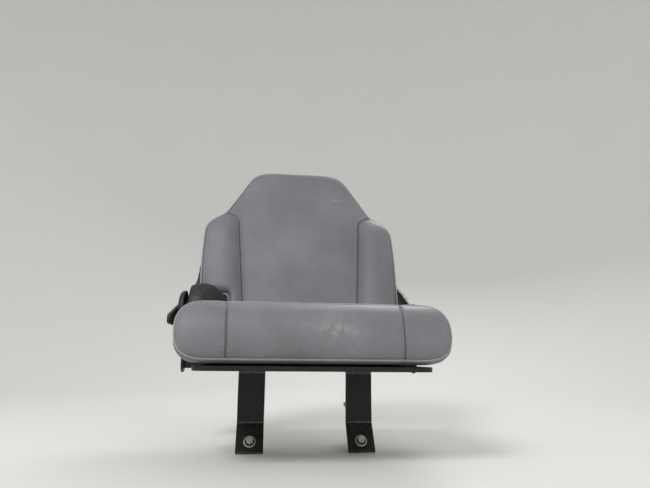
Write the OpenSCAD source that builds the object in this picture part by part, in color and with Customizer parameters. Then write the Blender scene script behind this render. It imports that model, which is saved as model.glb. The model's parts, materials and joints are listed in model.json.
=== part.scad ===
// Crew seat of an airport fire truck: centre seat on its floor brackets
// Origin midway between the front floor bolts, at the back face of the feet
// X to the right as the seat is faced, Y to the rear of the cab, Z up

/* [Floor brackets] */
// Distance between the two front floor bolts
bolt_spacing = 225; // [200:1:250]
// Distance between the two rear floor bolts
rear_spacing = 248; // [230:1:270]
// Width of the front leg bars
leg_w = 55; // [45:1:65]
// Width of the rear foot bars
rear_leg_w = 40; // [35:1:50]
// Thickness of all four bars
bar_t = 6; // [5:0.5:8]
// Inside radius of the bends in the bars
bend_r = 4; // [3:0.5:8]
// Slope of the front feet from level, in degrees
front_slope = 55; // [45:1:65]
// Slope of the rear feet from level, in degrees
rear_slope = 10; // [4:1:14]
// Front foot length above the bolt hole, up to the bend
foot_above = 40; // [32:1:50]
// Foot length below the bolt hole
foot_below = 22; // [18:1:30]
// Rear foot length from the bolt hole to the bend
rear_foot_above = 27; // [24:1:34]
// Distance from the front bolts back to the rear bolts
rear_bolt_y = 150; // [140:1:165]
// Radius of the floor bolt shanks
bolt_r = 4; // [3:0.5:5]
// Width across the flats of the bolt heads
bolt_flats = 13; // [10:1:17]
// Height of the bolt heads
bolt_head_h = 5.3; // [4:0.1:7]
// Radius of the reduced shank inside the foot
shank_r = 3.6; // [2.8:0.1:3.7]
// Radius of the plain washers
washer_r = 12; // [10:0.5:14]
// Thickness of the plain washers
washer_t = 2; // [1.5:0.1:3]
// Length of bolt shank that stands out behind the feet
bolt_out = 25; // [15:1:35]

/* [Seat pan] */
// Height of the cushion's underside above the front bolts
pan_top = 153.5; // [145:0.5:165]
// Width of the seat pan
pan_w = 430; // [400:1:450]
// Distance from the front bolts forward to the pan's front lip
pan_front = 190; // [175:1:195]
// Distance from the front bolts back to the pan's rear lip
pan_rear = 146; // [138:1:156]
// Depth of the pan's turned down lip
pan_lip = 8.5; // [8:0.5:10]
// Sheet thickness of the pan
pan_sheet = 2; // [1.5:0.1:2.5]
// Corner radius of the pan
pan_corner_r = 30; // [20:1:40]
// Width of the swaged beads that stiffen the pan
bead_w = 16; // [12:1:20]
// Depth of the beads
bead_depth = 4; // [3:0.5:5]
// Length of the beads
bead_l = 190; // [150:5:220]
// Distance from one middle bead to the next, and of the outer beads from the pan's sides
bead_pitch = 34; // [28:1:38]
// Radius of the pan's vent holes
vent_r = 9; // [6:0.5:11]
// Distance of the vent holes from the pan's front and rear
vent_margin = 45; // [38:1:50]
// Width of the channel rails under the pan
rail_w = 50; // [44:1:56]
// Distance of the rails' front ends from the pan's front
rail_start = 22; // [15:1:40]
// Length of the bolted flanges on the brackets
flange_l = 36; // [30:1:38]

/* [Cushion] */
// Width of the seat cushion
cushion_w = 500; // [470:1:515]
// Thickness of the cushion at its front
cushion_h = 117; // [105:1:125]
// Overhang of the cushion in front of the pan
cushion_nose = 17; // [10:1:25]
// Distance from the pan's rear lip forward to the cushion's lower rear edge
cushion_inset = 9; // [8:1:20]
// Reach of the cushion's upper rear edge behind its lower one
cushion_reach = 18; // [12:1:20]
// Drop of the cushion's top towards the rear, in degrees
cushion_drop = 3; // [0:0.5:5]
// Radius of the rolled upper front edge
nose_r = 74; // [50:1:80]
// Radius of the lower front edge
nose_low_r = 36; // [25:1:40]
// Radius of the cushion's rounded ends, seen from the front
end_r = 44; // [30:1:50]

/* [Recliner] */
// Distance from the pan's rear lip back to the hinge axis
hinge_back = 24; // [22:1:30]
// Height of the hinge axis above the cushion's underside
hinge_rise = 114.5; // [108:0.5:125]
// Lean of the backrest from upright, in degrees
lean = 24.2; // [20:0.1:30]
// Radius of the hinge pins
pin_r = 8; // [6:0.5:10]
// Radius of the hinge pins' heads
pin_head_r = 13; // [12:0.5:15]
// Height of the hinge pins' heads
pin_head_h = 4; // [3:0.5:6]
// Distance from the middle to the inner face of the arms
arm_in = 265; // [264:0.5:272]
// Thickness of the arms and of the fixed plates
plate_t = 5; // [4:0.5:6]
// Radius of the round heads of arms and plates
head_r = 30; // [26:1:34]
// Radius of the fixed plates' lower ends, on the crossbar
plate_foot_r = 22; // [18:1:24]
// Reach of the arms behind the lower cross tube's middle
arm_low_r = 16; // [14:1:18]
// Half width of the arms at the upper cross tube
arm_high_r = 13; // [12:0.5:14]
// Height at which the arms' front edge turns up behind the pad
arm_turn_h = 135; // [125:1:145]
// Inward lean of the arms above the hub, in degrees
arm_lean = 4.5; // [3:0.1:5]
// Side of the square rear crossbar
crossbar = 25; // [22:1:30]
// Wall of the rear crossbar
crossbar_wall = 2.5; // [2:0.5:4]
// Radius of the recliner hub cover at its widest
hub_r = 73; // [60:1:76]
// Width of the recliner hub cover inside the arm
hub_w = 79; // [70:1:84]
// Radius that the hub cover's domed side turns with
hub_dome_r = 58; // [50:1:70]
// Radius of the cap over the right hinge
cap_r = 34; // [32:1:38]
// Radius of the cap over the recliner on the left
hub_cap_r = 54; // [48:1:58]
// Depth of both caps at their rim
cap_depth = 13; // [11:0.5:16]
// Thickness of the arm covers at their lower ends
cover_t = 5; // [4:0.5:8]
// Thickness of the arm covers at their upper ends
cover_top_t = 3; // [2.5:0.5:4]
// Thickness of the recliner lever
lever_t = 8; // [6:0.5:10]
// Reach of the recliner lever from the hinge axis to the middle of its grip
lever_l = 112; // [90:1:120]

/* [Backrest] */
// Half width of the backrest at its widest
back_half = 262.5; // [255:0.5:263.5]
// Half width of the backrest at its lower end
back_low_half = 253; // [245:1:256]
// Height of the shoulders along the backrest
shoulder_h = 290.5; // [270:0.5:320]
// Half width where the shoulders meet the head part
neck_half = 208; // [200:1:215]
// Half width of the head part at its top
head_half = 129; // [120:1:140]
// Height of the backrest's top edge along the backrest
back_h = 502; // [480:1:520]
// Distance of the cushioned side outline behind the hinge axis
outline_back = 39; // [36:0.5:44]
// Distance of the centre panel in front of that outline
panel_fwd = 19; // [12:1:24]
// Distance of the bolster crests in front of that outline
crest_fwd = 46; // [36:1:46]
// Half width of the centre panel
panel_half = 146; // [135:1:155]
// Length over which the bolsters sink to the panel below the neck
bolster_fade = 75; // [60:1:90]
// Thickness of the pad behind the side outline
pad_behind = 25; // [20:1:30]

/* [Back shell] */
// Inset of the back shell from the pad's outline
shell_inset = 8; // [6:0.5:14]
// Depth of the back shell behind the pad
shell_depth = 34; // [34:1:38]
// Wall of the back shell
shell_wall = 3; // [2.5:0.5:4]
// Radius of the back shell's rounded border
shell_edge_r = 14; // [10:1:16]
// Rise of the back shell's middle above its border
shell_crown = 6; // [4:0.5:8]
// Width of the sloping band between the border and the middle
shell_band = 66; // [50:1:80]
// Number of grooves moulded into the back shell
groove_n = 7; // [3:2:9]
// Width of the grooves
groove_w = 11; // [8:1:14]
// Depth of the grooves
groove_depth = 1.5; // [1:0.1:1.8]
// Number of vent slots in each row
vent_slot_n = 9; // [5:2:11]
// Width of the vent slots
vent_slot_w = 5; // [3:0.5:7]
// Length of the vent slots
vent_slot_l = 26; // [18:1:30]
// Radius of the two cross tubes inside the back shell
tube_r = 9; // [8:0.5:10]
// Wall of the two cross tubes
tube_wall = 2; // [1.5:0.5:2.5]
// Gap between the hub cover and the lower cross tube
hub_tube_gap = 6.6; // [5:0.1:10]
// Height of the upper cross tube along the backrest
high_tube_h = 190; // [175:1:200]

/* [Hidden] */

$fn = 48;
eps = 0.01;
// Clearance that lets a part move past another
free_gap = 5;
// Gap between soft parts and what they rest on
soft_gap = 0.3;
// Radial clearance of the hinge pins
pin_gap = 0.08;
// Radial clearance of the floor bolts in their holes
bolt_gap = 0.5;
// Gap between an arm and the fixed plate beside it
side_gap = 1.5;

// Draft of the cushion's rear overhang over the crossbar, in height
reach_rise = 40;
// Height of the bulge of each cap's middle above its rim
cap_bulge = 1;
// Gap between the left cap and the lever
lever_gap = 0.2;
// Distance that the arm covers keep from the heads of the fixed plates
cover_clear = 28;

pan_bottom = pan_top - pan_lip;
cushion_rear = pan_rear - cushion_inset;
hinge_y = pan_rear + hinge_back;
hinge_z = pan_top + hinge_rise;
hole_r = bolt_r + bolt_gap;
plate_in = arm_in + plate_t + side_gap;
plate_out = plate_in + plate_t;
pad_rear = outline_back + pad_behind;
tube_back = pad_rear + soft_gap + tube_r + shell_wall;
low_tube_h = sqrt(pow(hub_r + hub_tube_gap + tube_r, 2) - pow(tube_back, 2));
crossbar_low = [pan_rear + soft_gap, pan_bottom - 3];
arm_bend_h = hub_r + free_gap;

// Shift of an arm towards the middle at a height along the backrest
function arm_shift(h) = max(0, h - arm_bend_h) * tan(arm_lean);

// Height of the sloping floor under the rear bolts, which starts at the front feet's bends
floor_start = [foot_above * cos(front_slope), foot_above * sin(front_slope)];
rear_bolt_z = floor_start[1] + (rear_bolt_y - floor_start[0]) * tan(rear_slope);

// Points of an arc about a centre, from one angle to another
function arc(centre, r, from, to, steps = 8) =
    [for (i = [0 : steps]) centre + r * [cos(from + (to - from) * i / steps), sin(from + (to - from) * i / steps)]];

function unit(v) = v / norm(v);
function turned(v) = [-v[1], v[0]];

// One corner [x, y, radius] of an outline, replaced by the arc that rounds it
function round_corner(before, corner, after, steps) =
    let (
        p = [corner[0], corner[1]],
        u = unit([before[0], before[1]] - p),
        v = unit([after[0], after[1]] - p),
        half = acos(max(-1, min(1, u * v))) / 2,
        reach = corner[2] / tan(half),
        centre = p + unit(u + v) * corner[2] / sin(half),
        start = p + u * reach - centre,
        end = p + v * reach - centre,
        a = atan2(start[1], start[0]),
        sweep = atan2(start[0] * end[1] - start[1] * end[0], start * end)
    )
    arc(centre, corner[2], a, a + sweep, steps);

function rounded(corners, steps = 6) =
    let (n = len(corners))
    [for (i = [0 : n - 1])
        each round_corner(corners[(i + n - 1) % n], corners[i], corners[(i + 1) % n], steps)];

// The same corners moved inwards by d, with their radii kept true
function inset(corners, d) =
    let (n = len(corners))
    [for (i = [0 : n - 1])
        let (
            p = [corners[i][0], corners[i][1]],
            q = [corners[(i + n - 1) % n][0], corners[(i + n - 1) % n][1]],
            s = [corners[(i + 1) % n][0], corners[(i + 1) % n][1]],
            a = turned(unit(p - q)),
            b = turned(unit(s - p)),
            m = p + (a + b) * d / (1 + a * b),
            convex = (p[0] - q[0]) * (s[1] - p[1]) - (p[1] - q[1]) * (s[0] - p[0]) > 0
        )
        [m[0], m[1], max(2, corners[i][2] + (convex ? -d : d))]];

// Outline of the backrest: [half width, height along the backrest, corner radius], right side upwards
back_half_corners = [
    [back_low_half, -12, 40],
    [back_half, 190, 400],
    [back_half, shoulder_h, 66],
    [neck_half, shoulder_h + back_half - neck_half, 60],
    [head_half, back_h, 65]
];
back_corners = concat(
    back_half_corners,
    [for (i = [len(back_half_corners) - 1 : -1 : 0])
        [-back_half_corners[i][0], back_half_corners[i][1], back_half_corners[i][2]]]
);

// Both sides of a flat bar bent along a path, as [right point, left point] pairs
// runs holds [straight length, turn in degrees], and a turn to the left is positive
function strip_sides(runs, t, r, i = 0, p = [0, 0], a = 0) =
    let (
        n = [-sin(a), cos(a)],
        q = p + runs[i][0] * [cos(a), sin(a)],
        turn = runs[i][1],
        left = turn > 0,
        centre = left ? q + (t + r) * n : q - r * n,
        near = left ? -(t + r) : r,
        far = left ? -r : r + t,
        steps = 8,
        bend = [for (k = [1 : steps]) let (b = a + turn * k / steps, m = [-sin(b), cos(b)])
            [centre + near * m, centre + far * m]]
    )
    i == len(runs) - 1
        ? [[p, p + t * n], [q, q + t * n]]
        : concat(
            [[p, p + t * n], [q, q + t * n]],
            bend,
            [for (s = strip_sides(runs, t, r, i + 1, bend[steps - 1][0], a + turn)) if (s[0] != bend[steps - 1][0]) s]
        );

module bent_strip(runs, t, r) {
    sides = strip_sides(runs, t, r);
    polygon(concat([for (s = sides) s[0]], [for (i = [len(sides) - 1 : -1 : 0]) sides[i][1]]));
}

// Side profile drawn in Y and Z, given its width along X and its middle
module across(middle, w) {
    translate([middle - w / 2, 0, 0]) rotate([90, 0, 90]) linear_extrude(w) children();
}

// Angle of the outward normal of the tangent from one circle [x, y, r] to the next
function tangent_normal(c, d) =
    let (v = [d[0] - c[0], d[1] - c[1]])
    atan2(v[1], v[0]) - acos((c[2] - d[2]) / norm(v));

// Outline of a belt round circles [x, y, r], listed counter-clockwise
module belt(circles, steps = 12) {
    n = len(circles);
    polygon([for (i = [0 : n - 1])
        let (
            c = circles[i],
            from = tangent_normal(circles[(i + n - 1) % n], c),
            to = tangent_normal(c, circles[(i + 1) % n]),
            sweep = (to - from) - 360 * floor((to - from) / 360)
        )
        each arc([c[0], c[1]], c[2], from, from + sweep, steps)]);
}

// Bracket profile: sloping foot, upright and flange, with its bolt hole at the origin
module bracket_profile(slope, above, rise) {
    upright = rise - (above * sin(slope) + (bar_t + bend_r) * cos(slope) + bend_r);
    rotate(slope) translate([-foot_below, 0])
        bent_strip([[foot_below + above, 90 - slope], [upright, -90], [flange_l, 0]], bar_t, bend_r);
}

module bracket(x, y, z, w, slope, above) {
    rise = pan_bottom - bar_t - z;
    rear = y > 0;
    translate([0, y, z]) mirror([0, rear ? 1 : 0, 0])
        difference() {
            across(x, w) bracket_profile(slope, above, rise);
            translate([x, 0, 0]) rotate([slope, 0, 0])
                translate([0, 0, -bar_t]) cylinder(h = 3 * bar_t, r = hole_r);
        }
}

// Floor bolt with its washer, pointing down into the floor
module floor_bolt(x, y, z, tilt) {
    translate([x, y, z]) rotate([tilt, 0, 0]) {
        translate([0, 0, bar_t + washer_t]) cylinder(h = bolt_head_h, r = bolt_flats / sqrt(3), $fn = 6);
        translate([0, 0, bar_t]) cylinder(h = washer_t + eps, r = washer_r);
        translate([0, 0, -eps]) cylinder(h = bar_t + 2 * eps, r = shank_r);
        translate([0, 0, -bolt_out]) cylinder(h = bolt_out, r = bolt_r);
    }
}

module front_leg(side) {
    color("#15161a")
        bracket(side * bolt_spacing / 2, 0, 0, leg_w, front_slope, foot_above);
}

module front_bolt(side) {
    color("silver") floor_bolt(side * bolt_spacing / 2, 0, 0, front_slope);
}

module rear_foot(side) {
    color("#15161a")
        bracket(side * rear_spacing / 2, rear_bolt_y, rear_bolt_z, rear_leg_w, -rear_slope, rear_foot_above);
}

module rear_bolt(side) {
    color("silver") floor_bolt(side * rear_spacing / 2, rear_bolt_y, rear_bolt_z, rear_slope);
}

// Rounded rectangle from a low to a high corner
module round_rect(low, high, r) {
    polygon(rounded([
        [low[0], low[1], r], [high[0], low[1], r], [high[0], high[1], r], [low[0], high[1], r]
    ]));
}

module slot_2d(length, w) {
    square([length - w, w], center = true);
    for (s = [-1, 1]) translate([s * (length - w) / 2, 0]) circle(w / 2);
}

// Places of the five beads across the pan
bead_x = [
    -pan_w / 2 + bead_pitch, -bead_pitch, 0, bead_pitch, pan_w / 2 - bead_pitch
];

// Bodies or hollows of the swaged beads, between two heights
module beads(low, high, wall) {
    for (x = bead_x)
        translate([x, (pan_rear - pan_front) / 2, low]) linear_extrude(high - low)
            rotate(90) slot_2d(bead_l - 2 * wall, bead_w - 2 * wall);
}

// Flat plate or hollow of the pan, between two heights and inside its rim by d
module pan_block(low, high, d) {
    translate([0, 0, low]) linear_extrude(high - low)
        round_rect([-pan_w / 2 + d, -pan_front + d], [pan_w / 2 - d, pan_rear - d], pan_corner_r - d);
}

// Pressed tray with a turned down lip, swaged beads and vent holes
module seat_pan() {
    inside = pan_top - pan_sheet;
    color("#15161a")
        difference() {
            union() {
                difference() {
                    pan_block(pan_bottom, pan_top, 0);
                    pan_block(pan_bottom - 1, inside, pan_sheet);
                }
                beads(inside - bead_depth, inside + eps, 0);
            }
            beads(pan_top - bead_depth, pan_top + 1, pan_sheet);
            for (x = [-2, 0, 2], y = [-pan_front + vent_margin, pan_rear - vent_margin])
                translate([x * bead_pitch, y, pan_bottom - 1]) cylinder(h = pan_lip + 2, r = vent_r);
        }
}

// Channel rail welded under the pan, which the brackets are bolted to
module pan_rail(side) {
    depth = pan_lip - pan_sheet;
    low = -pan_front + rail_start;
    high = pan_rear - pan_sheet - 1;
    color("#15161a")
        translate([side * bolt_spacing / 2, 0, 0]) difference() {
            translate([-rail_w / 2, low, pan_bottom]) cube([rail_w, high - low, depth]);
            translate([-rail_w / 2 + pan_sheet, low - 1, pan_bottom + pan_sheet])
                cube([rail_w - 2 * pan_sheet, high - low + 2, depth]);
        }
}

module rear_crossbar() {
    w = 2 * plate_in;
    high = crossbar_low + [crossbar, crossbar];
    wall = [crossbar_wall, crossbar_wall];
    corner_r = crossbar_wall + 1.5;
    color("#15161a")
        difference() {
            across(0, w) round_rect(crossbar_low, high, corner_r);
            across(0, w + 2) round_rect(crossbar_low + wall, high - wall, corner_r - crossbar_wall);
        }
}

module seat_cushion() {
    front = -pan_front - cushion_nose;
    bottom = pan_top + soft_gap;
    top = bottom + cushion_h;
    crest_y = front + nose_r + 20;
    rear = cushion_rear + cushion_reach;
    rear_top = top - (rear - crest_y) * tan(cushion_drop);
    step = crossbar_low[1] + crossbar + free_gap;
    color("#6d6f74")
        difference() {
            intersection() {
                across(0, cushion_w) polygon(rounded([
                    [front, bottom, nose_low_r],
                    [cushion_rear, bottom, 8],
                    [cushion_rear, step, 4],
                    [rear, min(step + reach_rise, rear_top - 30), 16],
                    [rear, rear_top, 20],
                    [crest_y, top, 200],
                    [front, top, nose_r]
                ], 8));
                translate([0, rear + 1, 0]) rotate([90, 0, 0])
                    linear_extrude(rear - front + 2)
                        round_rect([-cushion_w / 2, bottom], [cushion_w / 2, top], end_r);
            }
            translate([-cushion_w / 2 - 1, hinge_y, hinge_z]) rotate([0, 90, 0])
                cylinder(h = cushion_w / 2 + 1 - (arm_in - hub_w - free_gap), r = hub_r + free_gap, $fn = 96);
        }
}

// Bore along X through a plate that starts at a distance from the middle
module side_bore(side, from, depth, r) {
    rotate([0, side * 90, 0]) translate([0, 0, from - 1]) cylinder(h = depth + 2, r = r);
}

// Fixed plate from the rear crossbar up to the hinge
module hinge_plate(side) {
    foot = crossbar_low + [crossbar, crossbar] / 2;
    color("#15161a")
        difference() {
            across(side * (plate_in + plate_t / 2), plate_t)
                belt([[hinge_y, hinge_z, head_r], [foot[0], foot[1], plate_foot_r]]);
            translate([0, hinge_y, hinge_z]) side_bore(side, plate_in, plate_t, pin_r + pin_gap);
        }
}

module hinge_pin(side) {
    color("silver")
        translate([0, hinge_y, hinge_z]) rotate([0, side * 90, 0]) {
            translate([0, 0, arm_in]) cylinder(h = plate_out - arm_in + eps, r = pin_r);
            translate([0, 0, plate_out]) cylinder(h = pin_head_h, r = pin_head_r);
        }
}

// Half profile of the recliner hub at a distance x from the middle, as a radius
function hub_radius(x) =
    let (mid = arm_in - hub_w / 3)
    hub_r - hub_dome_r + sqrt(hub_dome_r * hub_dome_r - (x - mid) * (x - mid));

// Round moulded cover inside the left arm, about the hinge axis
module recliner_hub_cover() {
    inner = arm_in - hub_w;
    steps = 14;
    color("#1c1d20")
        translate([0, hinge_y, hinge_z]) rotate([0, -90, 0])
            rotate_extrude($fn = 96)
                polygon(concat(
                    [[0, arm_in - soft_gap], [0, inner]],
                    [for (i = [0 : steps])
                        let (x = inner + i * (hub_w - soft_gap) / steps) [hub_radius(x), x]]
                ));
}

// Domed cap over a hinge, outside the fixed plate
module hinge_cap(side, r) {
    rim_r = cap_depth - 3;
    color("#1c1d20")
        translate([0, hinge_y, hinge_z]) rotate([0, side * 90, 0]) translate([0, 0, plate_out])
            difference() {
                rotate_extrude($fn = 96) polygon(concat(
                    [[0, 0], [r, 0]],
                    arc([r - rim_r, cap_depth - rim_r], rim_r, 0, 90),
                    [[0, cap_depth + cap_bulge]]
                ));
                translate([0, 0, -1]) cylinder(h = pin_head_h + 2, r = pin_head_r + 1);
            }
}

// Moulded lever on the left cap: a boss on the recliner's shaft and a cranked blade with its grip to the front
module recliner_lever() {
    seat = plate_out + cap_depth + cap_bulge + lever_gap;
    blade = max(seat, cushion_w / 2 + free_gap);
    boss_r = hub_cap_r / 3 + 2;
    grip_r = 11;
    drop = lever_l / 5;
    color("#1c1d20")
        translate([0, hinge_y, hinge_z]) rotate([90, 0, -90]) {
            translate([0, 0, seat]) cylinder(h = blade - seat + lever_t, r = boss_r);
            translate([0, 0, blade]) linear_extrude(lever_t) belt([
                [0, 0, boss_r],
                [lever_l * 0.57, -drop, grip_r - 2],
                [lever_l, -drop * 0.9, grip_r]
            ]);
        }
}

// Everything on the backrest is drawn as if it stood upright, X across, Z up, with the hinge at the origin
module on_backrest() {
    translate([0, hinge_y, hinge_z]) rotate([-lean, 0, 0]) children();
}

// Arm profile in distance behind the hinge and height, seen from the side: back from the hinge, then up behind the pad
module arm_2d(smaller = 0) {
    front = pad_rear + 2;
    top = high_tube_h + arm_high_r;
    polygon(rounded(inset([
        [-head_r, -head_r, head_r - 1],
        [head_r + 8, -head_r, head_r - 1],
        [tube_back + arm_low_r, low_tube_h - arm_low_r / 2, 24],
        [front + 2 * arm_high_r, top, arm_high_r - 1],
        [front, top, arm_high_r - 1],
        [front, arm_turn_h, 40],
        [-head_r, head_r * 0.6, 25]
    ], smaller)));
}

// Plate seen from behind, in X and height: upright at the hinge and leaning in above it
// It starts at a distance from the middle and has one thickness at its lower and one at its upper end
module leaning_2d(side, from, low_t, high_t) {
    low = -2 * head_r;
    high = high_tube_h + 2 * head_r;
    shift = arm_shift(high);
    polygon([
        [side * from, low],
        [side * (from + low_t), low],
        [side * (from + low_t), arm_bend_h],
        [side * (from + high_t - shift), high],
        [side * (from - shift), high],
        [side * from, arm_bend_h]
    ]);
}

module leaning_plate(side, from, low_t, high_t) {
    depth = 4 * tube_back;
    translate([0, depth / 2, 0]) rotate([90, 0, 0]) linear_extrude(depth)
        leaning_2d(side, from, low_t, high_t);
}

module backrest_arm(side) {
    color("#15161a")
        on_backrest() difference() {
            intersection() {
                across(0, 2 * plate_out) arm_2d();
                leaning_plate(side, arm_in, plate_t, plate_t);
            }
            side_bore(side, arm_in, plate_t, pin_r + pin_gap);
        }
}

// Moulded cover on the outside of an arm in two steps, clear of the hinge and thinner towards its top
module arm_cover(side, cap) {
    color("#1c1d20")
        on_backrest() difference() {
            for (layer = [[1, 0.5], [4, 1]])
                intersection() {
                    across(0, 4 * arm_in) arm_2d(layer[0]);
                    leaning_plate(side, arm_in + plate_t, layer[1] * cover_t, layer[1] * cover_top_t);
                }
            side_bore(side, arm_in, 4 * cover_t, max(cap + free_gap + 1, head_r + cover_clear));
        }
}

module back_tube(height) {
    w = 2 * (arm_in - arm_shift(height + tube_r));
    color("#15161a")
        on_backrest() translate([-w / 2, tube_back, height]) rotate([0, 90, 0]) difference() {
            cylinder(h = w, r = tube_r);
            translate([0, 0, -1]) cylinder(h = w + 2, r = tube_r - tube_wall);
        }
}

// Round space that the hub cover takes up at the backrest's lower left corner
module hub_notch() {
    translate([-arm_in, 0, 0]) rotate([0, 90, 0])
        cylinder(h = hub_w + 1, r = hub_r + 1, $fn = 96);
}

// Slab of the backrest between two distances behind the hinge
module back_slab(front, rear, d) {
    translate([0, rear, 0]) rotate([90, 0, 0]) linear_extrude(rear - front)
        polygon(rounded(inset(back_corners, d)));
}

// Solid through a row of sections, each a ring of as many points, listed counter-clockwise as seen from the first
module loft(rings) {
    n = len(rings[0]);
    last = (len(rings) - 1) * n;
    polyhedron(
        points = [for (ring = rings) each ring],
        faces = concat(
            [[for (i = [n - 1 : -1 : 0]) i]],
            [for (k = [0 : n : last - n], i = [0 : n - 1])
                let (a = k + i, b = k + (i + 1) % n)
                each [[a, b, b + n], [a, b + n, a + n]]],
            [[for (i = [0 : n - 1]) last + i]]
        )
    );
}

// Moulded form behind the pad: straight sides, a rounded border, a sloping band and a flat middle
// d moves all of its surfaces inwards
module shell_form(front, d) {
    rear = pad_rear + soft_gap + shell_depth - d;
    border = rear - shell_crown;
    r = shell_edge_r - d;
    // Each section's [further inset, distance behind the hinge]
    sections = concat(
        [[0, front]],
        [for (a = [0 : 18 : 90]) [r * (1 - cos(a)), border - r + r * sin(a)]],
        [[r + shell_band, rear]]
    );
    loft([for (section = sections)
        [for (q = rounded(inset(back_corners, shell_inset + d + section[0]))) [q[0], section[1], q[1]]]]);
}

// Slots standing side by side across the backrest at a height, from a distance behind the hinge rearwards
module slot_row(n, pitch, height, length, w, from) {
    for (i = [0 : n - 1])
        translate([(i - (n - 1) / 2) * pitch, from + shell_depth, height]) rotate([90, 0, 0])
            linear_extrude(shell_depth) rotate(90) slot_2d(length, w);
}

// Moulded shell behind the pad, with grooves pressed in, two rows of vents and holes for the cross tubes
module back_shell() {
    front = pad_rear + soft_gap;
    rear = front + shell_depth;
    groove_low = low_tube_h + shell_band;
    groove_high = shoulder_h - 2 * vent_slot_l;
    color("#1c1d20")
        on_backrest() difference() {
            shell_form(front, 0);
            shell_form(front - 1, shell_wall);
            slot_row(
                groove_n, 2 * groove_w, (groove_low + groove_high) / 2,
                groove_high - groove_low, groove_w, rear - groove_depth
            );
            for (row = [0, 1])
                slot_row(
                    vent_slot_n, 3 * vent_slot_w, shoulder_h + row * 1.5 * vent_slot_l,
                    vent_slot_l, vent_slot_w, rear - 4 * shell_wall
                );
            for (h = [low_tube_h, high_tube_h])
                translate([-arm_in, tube_back, h]) rotate([0, 90, 0])
                    cylinder(h = 2 * arm_in, r = tube_r + bolt_gap);
            hub_notch();
        }
}

// Ridge of one bolster, seen along the backrest, in X and distance behind the hinge
module bolster_2d() {
    base = outline_back - panel_fwd + 5;
    crest = outline_back - crest_fwd;
    polygon(rounded([
        [panel_half - 2, base, 1],
        [panel_half + 12, crest, 24],
        [back_half - 8, crest + 2, 28],
        [back_half + 1, base, 1]
    ], 8));
}

// Bolsters seen from the side, which sink to the panel at the neck
module bolster_side_2d() {
    panel = outline_back - panel_fwd;
    crest = outline_back - crest_fwd;
    neck_h = shoulder_h + back_half - neck_half;
    polygon(rounded([
        [crest - 1, back_half_corners[0][1] - 1, 1],
        [pad_rear, back_half_corners[0][1] - 1, 1],
        [pad_rear, neck_h + bolster_fade, 1],
        [panel + 1, neck_h, 1],
        [crest - 1, neck_h - bolster_fade, 60]
    ], 10));
}

module backrest_pad() {
    panel = outline_back - panel_fwd;
    low = back_half_corners[0][1];
    color("#6d6f74")
        on_backrest() difference() {
            union() {
                back_slab(panel, pad_rear, 0);
                intersection() {
                    back_slab(outline_back - crest_fwd - 1, pad_rear, 0);
                    across(0, 2 * back_half) bolster_side_2d();
                    for (side = [0, 1])
                        mirror([side, 0, 0]) translate([0, 0, low]) linear_extrude(back_h) bolster_2d();
                }
            }
            hub_notch();
        }
}

front_leg(-1);  // front_leg_left
front_leg(1);  // front_leg_right
front_bolt(-1);  // front_bolt_left
front_bolt(1);  // front_bolt_right
rear_foot(-1);  // rear_foot_left
rear_foot(1);  // rear_foot_right
rear_bolt(-1);  // rear_bolt_left
rear_bolt(1);  // rear_bolt_right
seat_pan();
pan_rail(-1);  // pan_rail_left
pan_rail(1);  // pan_rail_right
rear_crossbar();
seat_cushion();
hinge_plate(-1);  // hinge_plate_left
hinge_plate(1);  // hinge_plate_right
hinge_pin(-1);  // hinge_pin_left
hinge_pin(1);  // hinge_pin_right
hinge_cap(-1, hub_cap_r);  // hinge_cap_left
hinge_cap(1, cap_r);  // hinge_cap_right
recliner_lever();
recliner_hub_cover();
backrest_arm(-1);  // backrest_arm_left
backrest_arm(1);  // backrest_arm_right
arm_cover(-1, hub_cap_r);  // arm_cover_left
arm_cover(1, cap_r);  // arm_cover_right
back_tube(low_tube_h);  // lower_back_tube
back_tube(high_tube_h);  // upper_back_tube
back_shell();
backrest_pad();
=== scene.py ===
"""Upholstery, finishes and fixings of a fire truck crew seat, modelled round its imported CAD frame."""
import json
from math import cos, pi, radians, sin, sqrt

import bmesh
import bpy
import numpy as np
from mathutils import Matrix, Vector
from mathutils.bvhtree import BVHTree

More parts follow.
